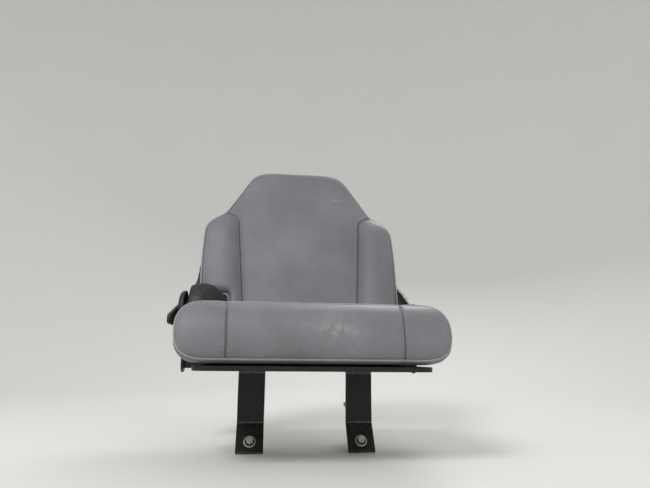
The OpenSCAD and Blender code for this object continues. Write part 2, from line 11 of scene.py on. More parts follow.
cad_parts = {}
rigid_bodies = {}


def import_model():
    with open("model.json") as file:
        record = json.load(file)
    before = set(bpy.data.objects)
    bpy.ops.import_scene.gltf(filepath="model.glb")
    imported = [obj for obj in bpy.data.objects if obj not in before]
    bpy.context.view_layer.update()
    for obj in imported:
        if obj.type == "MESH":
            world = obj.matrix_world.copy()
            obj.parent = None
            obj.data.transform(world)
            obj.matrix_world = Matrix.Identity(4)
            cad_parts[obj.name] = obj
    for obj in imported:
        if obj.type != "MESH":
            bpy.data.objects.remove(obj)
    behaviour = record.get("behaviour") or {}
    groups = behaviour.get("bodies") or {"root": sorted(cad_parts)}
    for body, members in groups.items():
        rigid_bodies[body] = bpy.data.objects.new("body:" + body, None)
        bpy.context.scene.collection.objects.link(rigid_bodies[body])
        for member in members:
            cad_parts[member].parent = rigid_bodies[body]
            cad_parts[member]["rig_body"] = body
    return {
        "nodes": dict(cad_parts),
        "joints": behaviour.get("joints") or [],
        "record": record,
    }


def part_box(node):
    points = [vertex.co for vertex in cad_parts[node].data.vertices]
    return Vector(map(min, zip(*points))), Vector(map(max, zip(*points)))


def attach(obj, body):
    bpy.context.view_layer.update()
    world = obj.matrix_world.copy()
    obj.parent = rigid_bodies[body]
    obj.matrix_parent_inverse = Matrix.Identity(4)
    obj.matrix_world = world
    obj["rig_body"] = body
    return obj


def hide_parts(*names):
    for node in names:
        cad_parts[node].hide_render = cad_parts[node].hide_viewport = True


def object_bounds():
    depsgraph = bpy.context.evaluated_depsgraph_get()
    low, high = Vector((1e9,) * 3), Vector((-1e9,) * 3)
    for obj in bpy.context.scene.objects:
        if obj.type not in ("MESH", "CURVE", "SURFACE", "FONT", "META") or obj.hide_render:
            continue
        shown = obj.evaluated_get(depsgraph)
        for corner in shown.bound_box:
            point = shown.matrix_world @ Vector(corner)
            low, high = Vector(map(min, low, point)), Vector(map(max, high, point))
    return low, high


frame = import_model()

bl_info = {
    "name": "Crew Seat",
    "version": (1, 0, 0),
    "blender": (4, 5, 0),
    "location": "3D View > Sidebar > Crew Seat",
    "description": "Upholstery, finishes and fixings of a fire truck crew seat",
    "category": "Object",
}

MM = 0.001
CAD_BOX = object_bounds()
HINGE = Vector(frame["joints"][0]["pos_m"])
BOLTS = [m for m in frame["record"]["mounts"] if m["kind"] == "bolt_pattern"]
SIDES = ((-1, "left"), (1, "right"))
DOWN = Vector((0, 0, -1))


def length_value(name, description, millimetres):
    return bpy.props.FloatProperty(
        name=name, description=description, default=millimetres * MM, unit="LENGTH"
    )


def angle_value(name, description, degrees):
    return bpy.props.FloatProperty(
        name=name, description=description, default=radians(degrees), subtype="ANGLE"
    )


def plain_value(name, description, value):
    return bpy.props.FloatProperty(name=name, description=description, default=value)


def colour_value(name, description, *levels):
    """Colour whose default is written in screen levels from 0 to 255."""
    linear = tuple(pow((v / 255 + 0.055) / 1.055, 2.4) for v in levels)
    return bpy.props.FloatVectorProperty(name=name, description=description, default=linear, subtype="COLOR")


class CrewSeatUpholstery(bpy.types.PropertyGroup):
    """Vinyl covers, their seams and their padding"""

    colour: colour_value("Vinyl", "Colour of the vinyl", 124, 126, 131)
    soil: colour_value("Soil", "Colour of the dirt in seams and grain", 74, 72, 70)
    # scuff is also the colour of the painted highlight along the piping
    scuff: colour_value("Scuff", "Colour of rubbed places", 168, 165, 161)
    grain: length_value("Grain", "Size of one pebble of the grain", 1.5)
    voxel: length_value("Voxel", "Mesh size of the padding", 5.5)
    slack: length_value("Slack", "How far the cover starts inside the foam", 3)
    pressure: plain_value("Pressure", "Pressure that fills the covers", 4.0)
    rise: length_value("Rise", "Most that a cover rises between its seams", 8)
    seam_w: length_value("Seam width", "Half width of a sewn seam's valley", 4.4)
    seam_depth: length_value("Seam depth", "Depth of a sewn seam's valley", 2.8)
    welt_r: length_value("Welt radius", "Radius of the piping", 2.1)
    stitch: length_value("Stitch", "Length of one stitch", 4.4)
    stitch_gap: length_value("Stitch gap", "Gap between two stitches", 1.3)
    pucker: length_value("Pucker", "Height of the small folds beside a sewn seam", 0.4)
    pucker_l: length_value("Pucker length", "Distance between two of those folds", 13)
    thread_r: length_value("Thread radius", "Radius of the thread", 0.6)


class CrewSeatCushion(bpy.types.PropertyGroup):
    """Seams of the seat cushion"""

    seam_x: length_value("Seam", "Distance of the sewn seams from the middle at the front", 155)
    seam_spread: plain_value("Seam spread", "Spread of the seams towards the rear, per metre", 0.1)
    core_x: length_value("Core ends", "Distance from the ends of the line that welts are laid out from", 56)
    core_y: length_value("Core depth", "Distance of that line behind the front", 90)
    forward: bpy.props.FloatVectorProperty(
        name="Forward", description="How far the front welt leans forward at its bottom, ends and top",
        default=(1.6, 1.4, 0.5)
    )
    edge_angle: angle_value("Edge angle", "Height of the welts along the ends, seen from the core", 48)
    front_r: length_value("Front corner", "Radius of the front corners, seen from above", 34)


class CrewSeatBackrest(bpy.types.PropertyGroup):
    """Form of the backrest pad, across it, behind the hinge and up along it"""

    lean: angle_value("Lean", "Lean of the backrest from upright", 24.2)
    gusset: length_value("Gusset", "Distance behind the hinge at which the cushioned front starts", 39)
    panel: length_value("Panel", "Rise of the centre panel in front of the gusset", 19)
    bolster: length_value("Bolster", "Rise of the bolsters in front of the centre panel", 27)
    bolster_rise: length_value("Bolster slope", "Distance from a groove to the crest of its bolster", 35)
    border: length_value("Border", "Width of the rounded border", 26)
    groove_x: length_value("Groove", "Distance of the grooves from the middle at the hinge's height", 140)
    groove_spread: plain_value("Groove spread", "Spread of the grooves upwards, per metre", 0.09)
    groove_top: length_value("Groove top", "Height at which the grooves turn outwards", 296)
    fade: length_value("Fade", "Height over which the bolsters sink below the neck", 105)
    border_welt: length_value("Border welt", "Distance of the border welt from the outline", 7)


class CrewSeatHardware(bpy.types.PropertyGroup):
    """Steel, plastic and fixings"""

    steel: colour_value("Steel", "Colour of the powder coat", 19, 20, 22)
    # bare is also the colour of the painted highlight along the brackets' bends
    bare: colour_value("Bare steel", "Colour of worn edges", 128, 123, 117)
    plastic: colour_value("Plastic", "Colour of the moulded covers", 24, 25, 27)
    zinc: colour_value("Zinc", "Colour of the zinc plate", 224, 223, 219)
    dust: colour_value("Dust", "Colour of settled dust", 120, 112, 102)
    steel_edge: length_value("Steel edge", "Rounding of the steel's edges", 0.7)
    plastic_edge: length_value("Plastic edge", "Rounding of the plastic's edges", 0.9)
    thread_pitch: length_value("Thread pitch", "Pitch of the floor bolts' threads", 1.25)
    screw_r: length_value("Screw radius", "Radius of the cover screws' heads", 4.5)
    weld_w: length_value("Weld width", "Width of a weld bead", 4.5)


class CrewSeatStage(bpy.types.PropertyGroup):
    """Floor, backdrop, lamps and camera"""

    floor: colour_value("Floor", "Colour of floor and backdrop", 228, 227, 224)
    radius: length_value("Floor radius", "Radius of the flat floor", 1900)
    height: length_value("Backdrop height", "Height of the backdrop", 4600)
    sweep: length_value("Sweep", "Radius of the curve from floor to backdrop", 2200)
    sky: plain_value("Sky", "Strength of the light from above", 0.55)
    camera: bpy.props.FloatVectorProperty(
        name="Camera", description="Place of the camera", subtype="XYZ", unit="LENGTH",
        default=(-0.0973, -1.1097, 0.1709)
    )
    yaw: angle_value("Yaw", "Turn of the camera to the right", 6.82)
    pitch: angle_value("Pitch", "Tilt of the camera upwards", 12.18)
    roll: angle_value("Roll", "Roll of the camera", 0.56)
    lens: plain_value("Lens", "Focal length on a 36 mm sensor, in millimetres", 28.86)


# Node trees

def feed(tree, socket, value):
    """Links a socket to another one, or sets it to a plain value."""
    if isinstance(value, bpy.types.NodeSocket):
        tree.links.new(value, socket)
    else:
        socket.default_value = value


def add(tree, kind, inputs=None, **settings):
    """New shader node with its settings made and its inputs fed."""
    made = tree.nodes.new("ShaderNode" + kind)
    for name, value in settings.items():
        setattr(made, name, value)
    for key, value in (inputs or {}).items():
        feed(tree, made.inputs[key], value)
    return made


def maths(tree, operation, a, b=0.0, c=0.0):
    return add(tree, "Math", {0: a, 1: b, 2: c}, operation=operation).outputs[0]


def blended(tree, factor, a, b):
    """Colour between a and b; both are sockets or linear colours."""
    full = [v if isinstance(v, bpy.types.NodeSocket) else (*v, 1.0) for v in (a, b)]
    return add(tree, "Mix", {0: factor, 6: full[0], 7: full[1]}, data_type="RGBA").outputs[2]


def varied(tree, factor, colour, dark, light):
    """A colour that varies between a darker and a lighter share of itself."""
    return blended(tree, factor, [dark * v for v in colour], [light * v for v in colour])


def stepped(tree, value, low, high, start=0.0, end=1.0):
    """Smooth step of a value from low to high."""
    made = add(
        tree, "MapRange", {"Value": value, "From Min": low, "From Max": high, "To Min": start, "To Max": end},
        interpolation_type="SMOOTHSTEP"
    )
    return made.outputs[0]


def noise(tree, place, size, detail=3.0, roughness=0.5):
    """Noise between 0 and 1 whose lumps are about one size across, in metres."""
    return add(
        tree, "TexNoise", {"Vector": place, "Scale": 1 / size, "Detail": detail, "Roughness": roughness}
    ).outputs[0]


def attribute(tree, name):
    return add(tree, "Attribute", attribute_name=name).outputs["Fac"]


def shader(name):
    """New material with its tree and its Texture Coordinate node's outputs."""
    made = bpy.data.materials.new(name)
    made.use_nodes = True
    return made, made.node_tree, add(made.node_tree, "TexCoord").outputs


def coated(made, values, strength, depth, height):
    """Gives a material's shader its values and the bump of a height."""
    tree = made.node_tree
    surface = tree.nodes["Principled BSDF"]
    bump = add(tree, "Bump", {"Strength": strength, "Distance": depth, "Height": height}).outputs[0]
    for name, value in {**values, "Normal": bump}.items():
        feed(tree, surface.inputs[name], value)
    return made


def finish_of(slot):
    """The finish of a slot, built once; the frame's own plain materials have the slots' bare names."""
    name = slot + "_finish"
    return bpy.data.materials.get(name) or FINISHES[slot](name)


def grey_vinyl(name):
    """Pebbled vinyl with soil in its grain and seams, rubbed places, and a painted highlight along the
    piping.
    """
    look = bpy.context.scene.crew_seat_upholstery
    made, tree, outputs = shader(name)
    place = outputs["Object"]
    drift = add(tree, "TexNoise", {"Vector": place, "Scale": 0.6 / look.grain, "Detail": 1.0})
    bent = add(
        tree, "VectorMath", {0: drift.outputs["Color"], 1: (0.9 * look.grain,) * 3, 2: place},
        operation="MULTIPLY_ADD"
    ).outputs[0]
    cells = add(
        tree, "TexVoronoi", {"Vector": bent, "Scale": 1 / look.grain}, feature="DISTANCE_TO_EDGE"
    ).outputs["Distance"]
    pebble = stepped(tree, cells, 0.0, 0.32)
    fine = noise(tree, place, 0.3 * MM, 2.0)
    folds = noise(tree, place, 35 * MM, 2.0)
    cloud = noise(tree, place, 160 * MM, 4.0, 0.6)
    patches = noise(tree, place, 16 * MM, 5.0, 0.68)
    base = varied(tree, stepped(tree, cloud, 0.3, 0.7), look.colour, 0.82, 1.1)
    crevice = maths(tree, "MULTIPLY", maths(tree, "SUBTRACT", 1.0, pebble), 0.3)
    soiled = blended(tree, crevice, base, look.soil)
    seamed = blended(tree, maths(tree, "MULTIPLY", attribute(tree, "seam"), 0.62), soiled, look.soil)
    rub = maths(tree, "MULTIPLY", attribute(tree, "rubbed"), stepped(tree, patches, 0.46, 0.62))
    # pale: a painted highlight along the piping, lightened towards the scuff colour
    pale = maths(tree, "MULTIPLY", attribute(tree, "pale"), stepped(tree, patches, 0.35, 0.6, 0.4, 0.62))
    # mixes the rubbed places' real scuffs with the piping's painted highlight
    worn = blended(tree, maths(tree, "MULTIPLY_ADD", rub, 0.4, pale), seamed, look.scuff)
    dull = maths(tree, "MULTIPLY_ADD", rub, 0.12, maths(tree, "MULTIPLY_ADD", cloud, 0.16, 0.4))
    height = maths(tree, "MULTIPLY_ADD", fine, 0.12, maths(tree, "MULTIPLY_ADD", folds, 1.6, pebble))
    values = {
        "Base Color": worn, "Roughness": dull, "Specular IOR Level": 0.42, "Sheen Weight": 0.08,
        "Sheen Roughness": 0.5
    }
    return coated(made, values, 0.55, 0.22 * MM, height)


def sewing_thread(name):
    """Twisted polyester thread."""
    look = bpy.context.scene.crew_seat_upholstery
    made, tree, outputs = shader(name)
    place = outputs["Object"]
    twist = add(
        tree, "TexWave", {"Vector": place, "Scale": 220.0, "Distortion": 3.0}, bands_direction="DIAGONAL"
    ).outputs[1]
    dirt = stepped(tree, noise(tree, place, 12 * MM), 0.35, 0.7)
    values = {"Base Color": varied(tree, dirt, look.colour, 1.6, 0.9), "Roughness": 0.62}
    return coated(made, values, 0.5, 0.1 * MM, twist)


def dusted(tree, outputs, amount, base):
    """A colour under the dust that lies on what faces up, broken by noise."""
    up = add(tree, "SeparateXYZ", {0: outputs["Normal"]}).outputs[2]
    grit = noise(tree, outputs["Object"], 9 * MM, 5.0, 0.65)
    flat = stepped(tree, up, 0.1, 1.0, 0.12, 1.0)
    layer = maths(tree, "MULTIPLY", flat, stepped(tree, grit, 0.35, 0.75, 0.0, amount))
    return blended(tree, layer, base, bpy.context.scene.crew_seat_hardware.dust)


def black_steel(name):
    """Satin powder coat, rubbed bare on its edges and painted light along the brackets' bends as a highlight,
    with dust.
    """
    look = bpy.context.scene.crew_seat_hardware
    made, tree, outputs = shader(name)
    place = outputs["Object"]
    peel = noise(tree, place, 1.1 * MM, 2.0)
    cloud = noise(tree, place, 45 * MM, 4.0, 0.6)
    chips = noise(tree, place, 3.2 * MM, 4.0, 0.7)
    # edge: bare wear on the rounded edges, and a painted highlight on the brackets' bends
    edge = maths(tree, "MULTIPLY", attribute(tree, "edge"), stepped(tree, chips, 0.42, 0.56, 0.12, 0.85))
    stretched = add(tree, "Mapping", {0: place, 3: (420.0, 420.0, 30.0)}).outputs[0]
    scratches = add(tree, "TexNoise", {"Vector": stretched, "Scale": 1.0, "Detail": 2.0}).outputs[0]
    fleck = maths(tree, "MULTIPLY", stepped(tree, scratches, 0.74, 0.8), 0.12)
    dusty = dusted(tree, outputs, 0.3, varied(tree, cloud, look.steel, 0.8, 1.25))
    values = {
        "Base Color": blended(tree, edge, blended(tree, fleck, dusty, look.bare), look.bare),
        "Roughness": maths(tree, "MULTIPLY_ADD", cloud, 0.22, 0.36), "Specular IOR Level": 0.32
    }
    return coated(made, values, 0.35, 0.08 * MM, maths(tree, "MULTIPLY_ADD", edge, -1.5, peel))


def black_plastic(name):
    """Moulded plastic with a spark grain, rubbed edges and dust."""
    look = bpy.context.scene.crew_seat_hardware
    made, tree, outputs = shader(name)
    place = outputs["Object"]
    spark = {"Vector": place, "Scale": 1 / (0.8 * MM), "Smoothness": 0.6}
    grain = add(tree, "TexVoronoi", spark, feature="SMOOTH_F1").outputs["Distance"]
    cloud = noise(tree, place, 60 * MM, 4.0, 0.6)
    patches = stepped(tree, noise(tree, place, 8 * MM, 4.0, 0.6), 0.42, 0.7, 0.0, 0.5)
    rub = maths(tree, "MULTIPLY", attribute(tree, "edge"), patches)
    dusty = dusted(tree, outputs, 0.26, varied(tree, cloud, look.plastic, 0.85, 1.2))
    values = {
        "Base Color": blended(tree, rub, dusty, [3.0 * v for v in look.plastic]),
        "Roughness": maths(tree, "MULTIPLY_ADD", cloud, 0.18, 0.44), "Specular IOR Level": 0.4
    }
    return coated(made, values, 0.4, 0.1 * MM, grain)


def zinc_fixings(name):
    """Bright zinc plate, slightly clouded and stained, with a painted shadow round the bolt heads."""
    look = bpy.context.scene.crew_seat_hardware
    made, tree, outputs = shader(name)
    place = outputs["Object"]
    cloud = noise(tree, place, 6 * MM, 4.0, 0.6)
    stain = stepped(tree, noise(tree, place, 4 * MM, 5.0, 0.7), 0.55, 0.75, 0.0, 0.55)
    stained = blended(tree, stain, varied(tree, cloud, look.zinc, 0.85, 1.08), look.dust)
    # painted shadow: darkens the washer round the bolt head and the head's underside towards the steel colour
    painted_shadow = maths(tree, "MULTIPLY", attribute(tree, "painted_shadow"), 0.94)
    values = {
        "Base Color": blended(tree, painted_shadow, stained, look.steel), "Metallic": 0.65,
        "Roughness": maths(tree, "MULTIPLY_ADD", cloud, 0.25, 0.3)
    }
    return coated(made, values, 0.25, 0.05 * MM, noise(tree, place, 0.7 * MM))


FINISHES = {
    "black_steel": black_steel,
    "zinc_fixings": zinc_fixings,
    "grey_vinyl": grey_vinyl,
    "black_plastic": black_plastic,
    "sewing_thread": sewing_thread,
}


# Meshes

def piece(name, source, body, slot, finish=None):
    """New object of a bmesh or a mesh, riding on a body, with the finish of its slot or another one."""
    if isinstance(source, bmesh.types.BMesh):
        mesh = bpy.data.meshes.new(name)
        source.to_mesh(mesh)
        source.free()
    else:
        mesh = source
        mesh.name = name
    mesh.materials.clear()
    mesh.materials.append(finish_of(finish or slot))
    made = bpy.data.objects.new(name, mesh)
    bpy.context.scene.collection.objects.link(made)
    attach(made, body)
    return made


def body_of(node):
    return frame["nodes"][node]["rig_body"]


def merged_copy(node):
    """bmesh of a CAD node with its loose triangles joined."""
    bm = bmesh.new()
    bm.from_mesh(frame["nodes"][node].data)
    bmesh.ops.remove_doubles(bm, verts=bm.verts, dist=0.002 * MM)
    return bm


def bevelled(bm, edges, width, segments):
    """Rounds edges, and returns the faces of the rounding."""
    return bmesh.ops.bevel(
        bm, geom=edges, offset=width, offset_type="OFFSET", segments=segments, profile=0.5, affect="EDGES",
        clamp_overlap=True, material=-1
    )["faces"]


def round_bar(bm, radius, low, high, segments, top_radius=None):
    """Adds a closed cylinder, prism or cone up the z axis, and returns its vertices."""
    made = bmesh.ops.create_cone(
        bm, cap_ends=True, segments=segments, radius1=radius, radius2=top_radius or radius, depth=high - low,
        matrix=Matrix.Translation((0, 0, (low + high) / 2))
    )
    return made["verts"]


def top_face(bm):
    return max(bm.faces, key=lambda f: (f.calc_center_median().z, f.calc_area()))


def smooth_shaded(made, angle=radians(34)):
    """Smooth shading with edges kept sharp above an angle, and flat faces kept flat."""
    made.data.shade_smooth()
    made.data.set_sharp_from_angle(angle=angle)
    weighted = made.modifiers.new("flat_faces", "WEIGHTED_NORMAL")
    weighted.keep_sharp = True


def rounded_node(node, slot, width, angle=radians(32), segments=2, bend_highlight_w=0.0):
    """Copy of a CAD node with its sharp edges rounded and marked for wear; it stands for the node.

    Strips narrower than the given bend width, as at the bend of a bar, are marked too, which paints a
    highlight along the bend.
    """
    bm = merged_copy(node)
    layer = bm.loops.layers.float.new("edge")
    bmesh.ops.dissolve_limit(bm, angle_limit=radians(0.4), verts=bm.verts, edges=bm.edges)
    sharp = [e for e in bm.edges if len(e.link_faces) == 2 and e.calc_face_angle() > angle]
    worn = set(bevelled(bm, sharp, width, segments))
    for face in bm.faces:
        length = max(e.calc_length() for e in face.edges)
        # narrow strips at a bend get the mark as a painted highlight, rounded edges get it as wear
        if face in worn or face.calc_area() / length < bend_highlight_w:
            for corner in face.loops:
                corner[layer] = 1.0
    made = piece(node + "_body", bm, body_of(node), slot)
    smooth_shaded(made)
    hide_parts(node)
    return made


def coords(mesh, kind="co"):
    """Places of a mesh's vertices, or their normals, as rows."""
    found = np.empty(len(mesh.vertices) * 3)
    mesh.vertices.foreach_get(kind, found)
    return found.reshape(-1, 3)


def move_to(mesh, places):
    mesh.vertices.foreach_set("co", places.ravel())
    mesh.update()


def normals_of(mesh):
    return coords(mesh, "normal")


def refined(mesh, close):
    """Cuts the mesh finer where close is true."""
    bm = bmesh.new()
    bm.from_mesh(mesh)
    edges = [e for e in bm.edges if close[e.verts[0].index] and close[e.verts[1].index]]
    bmesh.ops.subdivide_edges(bm, edges=edges, cuts=1, use_grid_fill=True)
    bm.to_mesh(mesh)
    bm.free()


def apply_modifiers(made):
    """Replaces an object's mesh by what its modifiers make of it."""
    graph = bpy.context.evaluated_depsgraph_get()
    mesh = bpy.data.meshes.new_from_object(made.evaluated_get(graph), depsgraph=graph)
    made.modifiers.clear()
    made.data = mesh
    return mesh


def remeshed(made, voxel):
    modifier = made.modifiers.new("foam", "REMESH")
    modifier.mode = "VOXEL"
    modifier.voxel_size = voxel
    modifier.use_smooth_shade = True
    return apply_modifiers(made)


def relaxed(mesh, rounds):
    """Evens out a mesh by moving each vertex to the middle of its neighbours."""
    bm = bmesh.new()
    bm.from_mesh(mesh)
    for _ in range(rounds):
        bmesh.ops.smooth_vert(
            bm, verts=bm.verts, factor=0.5, use_axis_x=True, use_axis_y=True, use_axis_z=True
        )
    bm.to_mesh(mesh)
    bm.free()


def inflated(made, held, frames=20):
    """Fills a cover with pressure between the points that hold it, capped, then smooths it once."""
    look = bpy.context.scene.crew_seat_upholstery
    before = coords(made.data)
    group = made.vertex_groups.new(name="held")
    for share in np.unique(np.round(held, 2)):
        if share > 0:
            group.add(np.nonzero(np.round(held, 2) == share)[0].tolist(), float(share), "REPLACE")
    cloth = made.modifiers.new("padding", "CLOTH")
    cloth.settings.use_pressure = True
    cloth.settings.uniform_pressure_force = look.pressure
    cloth.settings.effector_weights.gravity = 0
    cloth.settings.vertex_group_mass = group.name
    cloth.point_cache.frame_start, cloth.point_cache.frame_end = 1, frames
    for moment in range(1, frames + 1):
        bpy.context.scene.frame_set(moment)
    mesh = apply_modifiers(made)
    bpy.context.scene.frame_set(1)
    made.vertex_groups.clear()
    moved = coords(mesh) - before
    far = np.maximum(np.linalg.norm(moved, axis=1, keepdims=True), 1e-9)
    move_to(mesh, before + moved * look.rise * np.tanh(far / look.rise) / far)
    relaxed(mesh, 2)
    subdivision = made.modifiers.new("smooth", "SUBSURF")
    subdivision.levels = subdivision.render_levels = 1
    return apply_modifiers(made)


def line_distance(points, line):
    """Distance of points from a line of points."""
    best = np.full(len(points), np.inf)
    for a, b in zip(line[:-1], line[1:]):
        step = b - a
        length = max(np.linalg.norm(step), 1e-9)
        share = np.clip((points - a) @ step / length**2, 0, 1)
        best = np.minimum(best, np.linalg.norm(points - a - share[:, None] * step, axis=1))
    return best


def smooth_step(x, low, high):
    t = np.clip((x - low) / (high - low), 0, 1)
    return t * t * (3 - 2 * t)


def store(mesh, name, values):
    layer = mesh.attributes.get(name) or mesh.attributes.new(name, "FLOAT", "POINT")
    layer.data.foreach_set("value", np.asarray(values, np.float32))


def bell(distance, width):
    """Bell curve from 1 at a line down to 0 some widths from it."""
    return np.exp(-((distance / width) ** 2))


def valley(distance, width, depth):
    """Depth of a sewn valley at a distance from its line."""
    return depth * bell(distance, 0.45 * width)


def patch(points, centre, spread):
    """Bell curve in space from 1 at a centre, with a width for each axis."""
    return np.exp(-(((points - np.array(centre)) / spread) ** 2).sum(1))


def puckers(distance, along, look):
    """Small uneven folds that run out from a seam, at a distance from it and a place along it."""
    wave = np.sin(2 * pi * along / look.pucker_l + 1.7 * np.sin(2 * pi * along / (3.6 * look.pucker_l)))
    swell = 0.6 + 0.4 * np.sin(2 * pi * along / (7.3 * look.pucker_l) + 0.8)
    fade = np.exp(-distance / (0.9 * look.pucker_l)) * smooth_step(distance, 0, 0.5 * look.seam_w)
    return look.pucker * wave * swell * fade


def tree_of(made):
    bm = bmesh.new()
    bm.from_mesh(made.data)
    found = BVHTree.FromBMesh(bm)
    bm.free()
    return found


def struck(tree, aim, direction, back, lift=0.0):
    """Place, raised by a lift, and normal where a ray from back behind its aim meets a surface, or None."""
    place, normal, _, _ = tree.ray_cast(aim - direction * back, direction)
    return None if place is None else (place + normal * lift, normal)


def on_surface(tree, points, direction, lift, back=1.0):
    """Places where points, sent along a direction, meet a surface, with the surface's normals."""
    return [pair for p in points if (pair := struck(tree, Vector(p), direction, back, lift))]


def even(points, step):
    """Points at even steps along a line of points."""
    points = np.array(points, float)
    length = np.concatenate([[0], np.cumsum(np.linalg.norm(np.diff(points[:, :3], axis=0), axis=1))])
    count = max(2, int(round(length[-1] / step)) + 1)
    at = np.linspace(0, length[-1], count)
    return np.stack([np.interp(at, length, points[:, k]) for k in range(points.shape[1])], axis=1)


def softened(points, rounds, closed):
    points = np.array(points, float)
    for _ in range(rounds):
        if closed:
            points = (np.roll(points, 1, 0) + 2 * points + np.roll(points, -1, 0)) / 4
        else:
            points[1:-1] = (points[:-2] + 2 * points[1:-1] + points[2:]) / 4
    return points


def tube_mesh(name, lines, radius):
    """Mesh of round tubes along lines of points; each line is (points, closed)."""
    curve = bpy.data.curves.new(name, "CURVE")
    curve.dimensions = "3D"
    curve.bevel_depth = radius
    curve.bevel_resolution = 2
    curve.use_fill_caps = True
    for points, closed in lines:
        spline = curve.splines.new("POLY")
        spline.points.add(len(points) - 1)
        spline.points.foreach_set("co", np.hstack([points, np.ones((len(points), 1))]).ravel())
        spline.use_cyclic_u = closed
        spline.use_smooth = True
    holder = bpy.data.objects.new(name, curve)
    mesh = bpy.data.meshes.new_from_object(holder)
    bpy.data.objects.remove(holder)
    bpy.data.curves.remove(curve)
    return mesh


def welt(name, lines, body):
    """Piping covered in the same vinyl, marked pale for a painted highlight along it."""
    look = bpy.context.scene.crew_seat_upholstery
    made = piece(name, tube_mesh(name, lines, look.welt_r), body, "grey_vinyl")
    made.data.shade_smooth()
    # pale marks the whole piping for the vinyl's painted highlight
    store(made.data, "pale", np.ones(len(made.data.vertices)))
    return made


def repeated(shape, turns):
    """bmesh with a copy of one small shape at each placing matrix."""
    one = bpy.data.meshes.new("one")
    shape.to_mesh(one)
    shape.free()
    bm = bmesh.new()
    for turn in turns:
        placed = one.copy()
        placed.transform(turn)
        bm.from_mesh(placed)
        bpy.data.meshes.remove(placed)
    bpy.data.meshes.remove(one)
    return bm


def bead_row(lines, step, length, width, height):
    """Small round-ended beads at even steps along lines of (place, normal)."""
    shape = bmesh.new()
    lying = Matrix.Rotation(pi / 2, 4, "Y")
    bmesh.ops.create_uvsphere(shape, u_segments=5, v_segments=4, radius=1, matrix=lying)
    size = Matrix.Diagonal((length / 2, width / 2, height / 2, 1))
    bmesh.ops.transform(shape, matrix=size, verts=shape.verts)
    turns = []
    for line in lines:
        places = even([(*p, *n) for p, n in line], step)
        for a, b in zip(places[:-1], places[1:]):
            normal = Vector((a[3:] + b[3:]) / 2).normalized()
            forward = Vector(b[:3] - a[:3]).normalized()
            side = normal.cross(forward).normalized()
            turn = Matrix((forward, side, forward.cross(side))).transposed().to_4x4()
            turns.append(Matrix.Translation(Vector((a[:3] + b[:3]) / 2)) @ turn)
    return repeated(shape, turns)


def stitching(name, lines, body):
    """Rows of single stitches along lines of (place, normal)."""
    look = bpy.context.scene.crew_seat_upholstery
    thread = 2 * look.thread_r
    bm = bead_row(lines, look.stitch + look.stitch_gap, look.stitch, thread, thread)
    made = piece(name, bm, body, "grey_vinyl", "sewing_thread")
    made.data.shade_smooth()
    return made


def weld(name, lines, body):
    """Painted weld beads with their ripples, along lines of (place, normal)."""
    look = bpy.context.scene.crew_seat_hardware
    bm = bead_row(lines, 0.5 * look.weld_w, 1.3 * look.weld_w, look.weld_w, 0.7 * look.weld_w)
    made = piece(name, bm, body, "black_steel")
    made.data.shade_smooth()
    return made


def facing(place, normal):
    """Matrix that stands a shape on a place, with its top along the normal."""
    return Matrix.Translation(place) @ normal.to_track_quat("Z", "Y").to_matrix().to_4x4()


def socket_screws(name, spots, body, slot):
    """Button head screws with hexagon sockets, at places with normals."""
    r = bpy.context.scene.crew_seat_hardware.screw_r
    shape = bmesh.new()
    round_bar(shape, r, -0.08 * r, 0.48 * r, 24, top_radius=0.66 * r)
    bevelled(shape, top_face(shape).edges[:], 0.16 * r, 3)
    top = top_face(shape)
    bmesh.ops.inset_region(shape, faces=[top], thickness=0.06 * r)
    for vert in top.verts:
        turn = vert.co.xy.angle_signed(Vector((1, 0))) % (pi / 3) - pi / 6
        vert.co.xy = vert.co.xy.normalized() * 0.36 * r / cos(turn)
    bmesh.ops.inset_region(shape, faces=[top], thickness=0.01 * r, depth=-0.4 * r)
    made = piece(name, repeated(shape, [facing(p, n) for p, n in spots]), body, slot)
    smooth_shaded(made)
    return made


# Backrest coordinates: across, behind the hinge and up along the leaning backrest

def leant(points, lean):
    """Points turned about the x axis by the lean."""
    across, back, up = np.asarray(points).T
    return np.stack(
        [across, back * cos(lean) - up * sin(lean), back * sin(lean) + up * cos(lean)], axis=1
    )


def to_backrest(points, lean):
    return leant(np.asarray(points) - np.array(HINGE), lean)


def from_backrest(points, lean):
    return np.array(HINGE) + leant(points, -lean)


# Operators

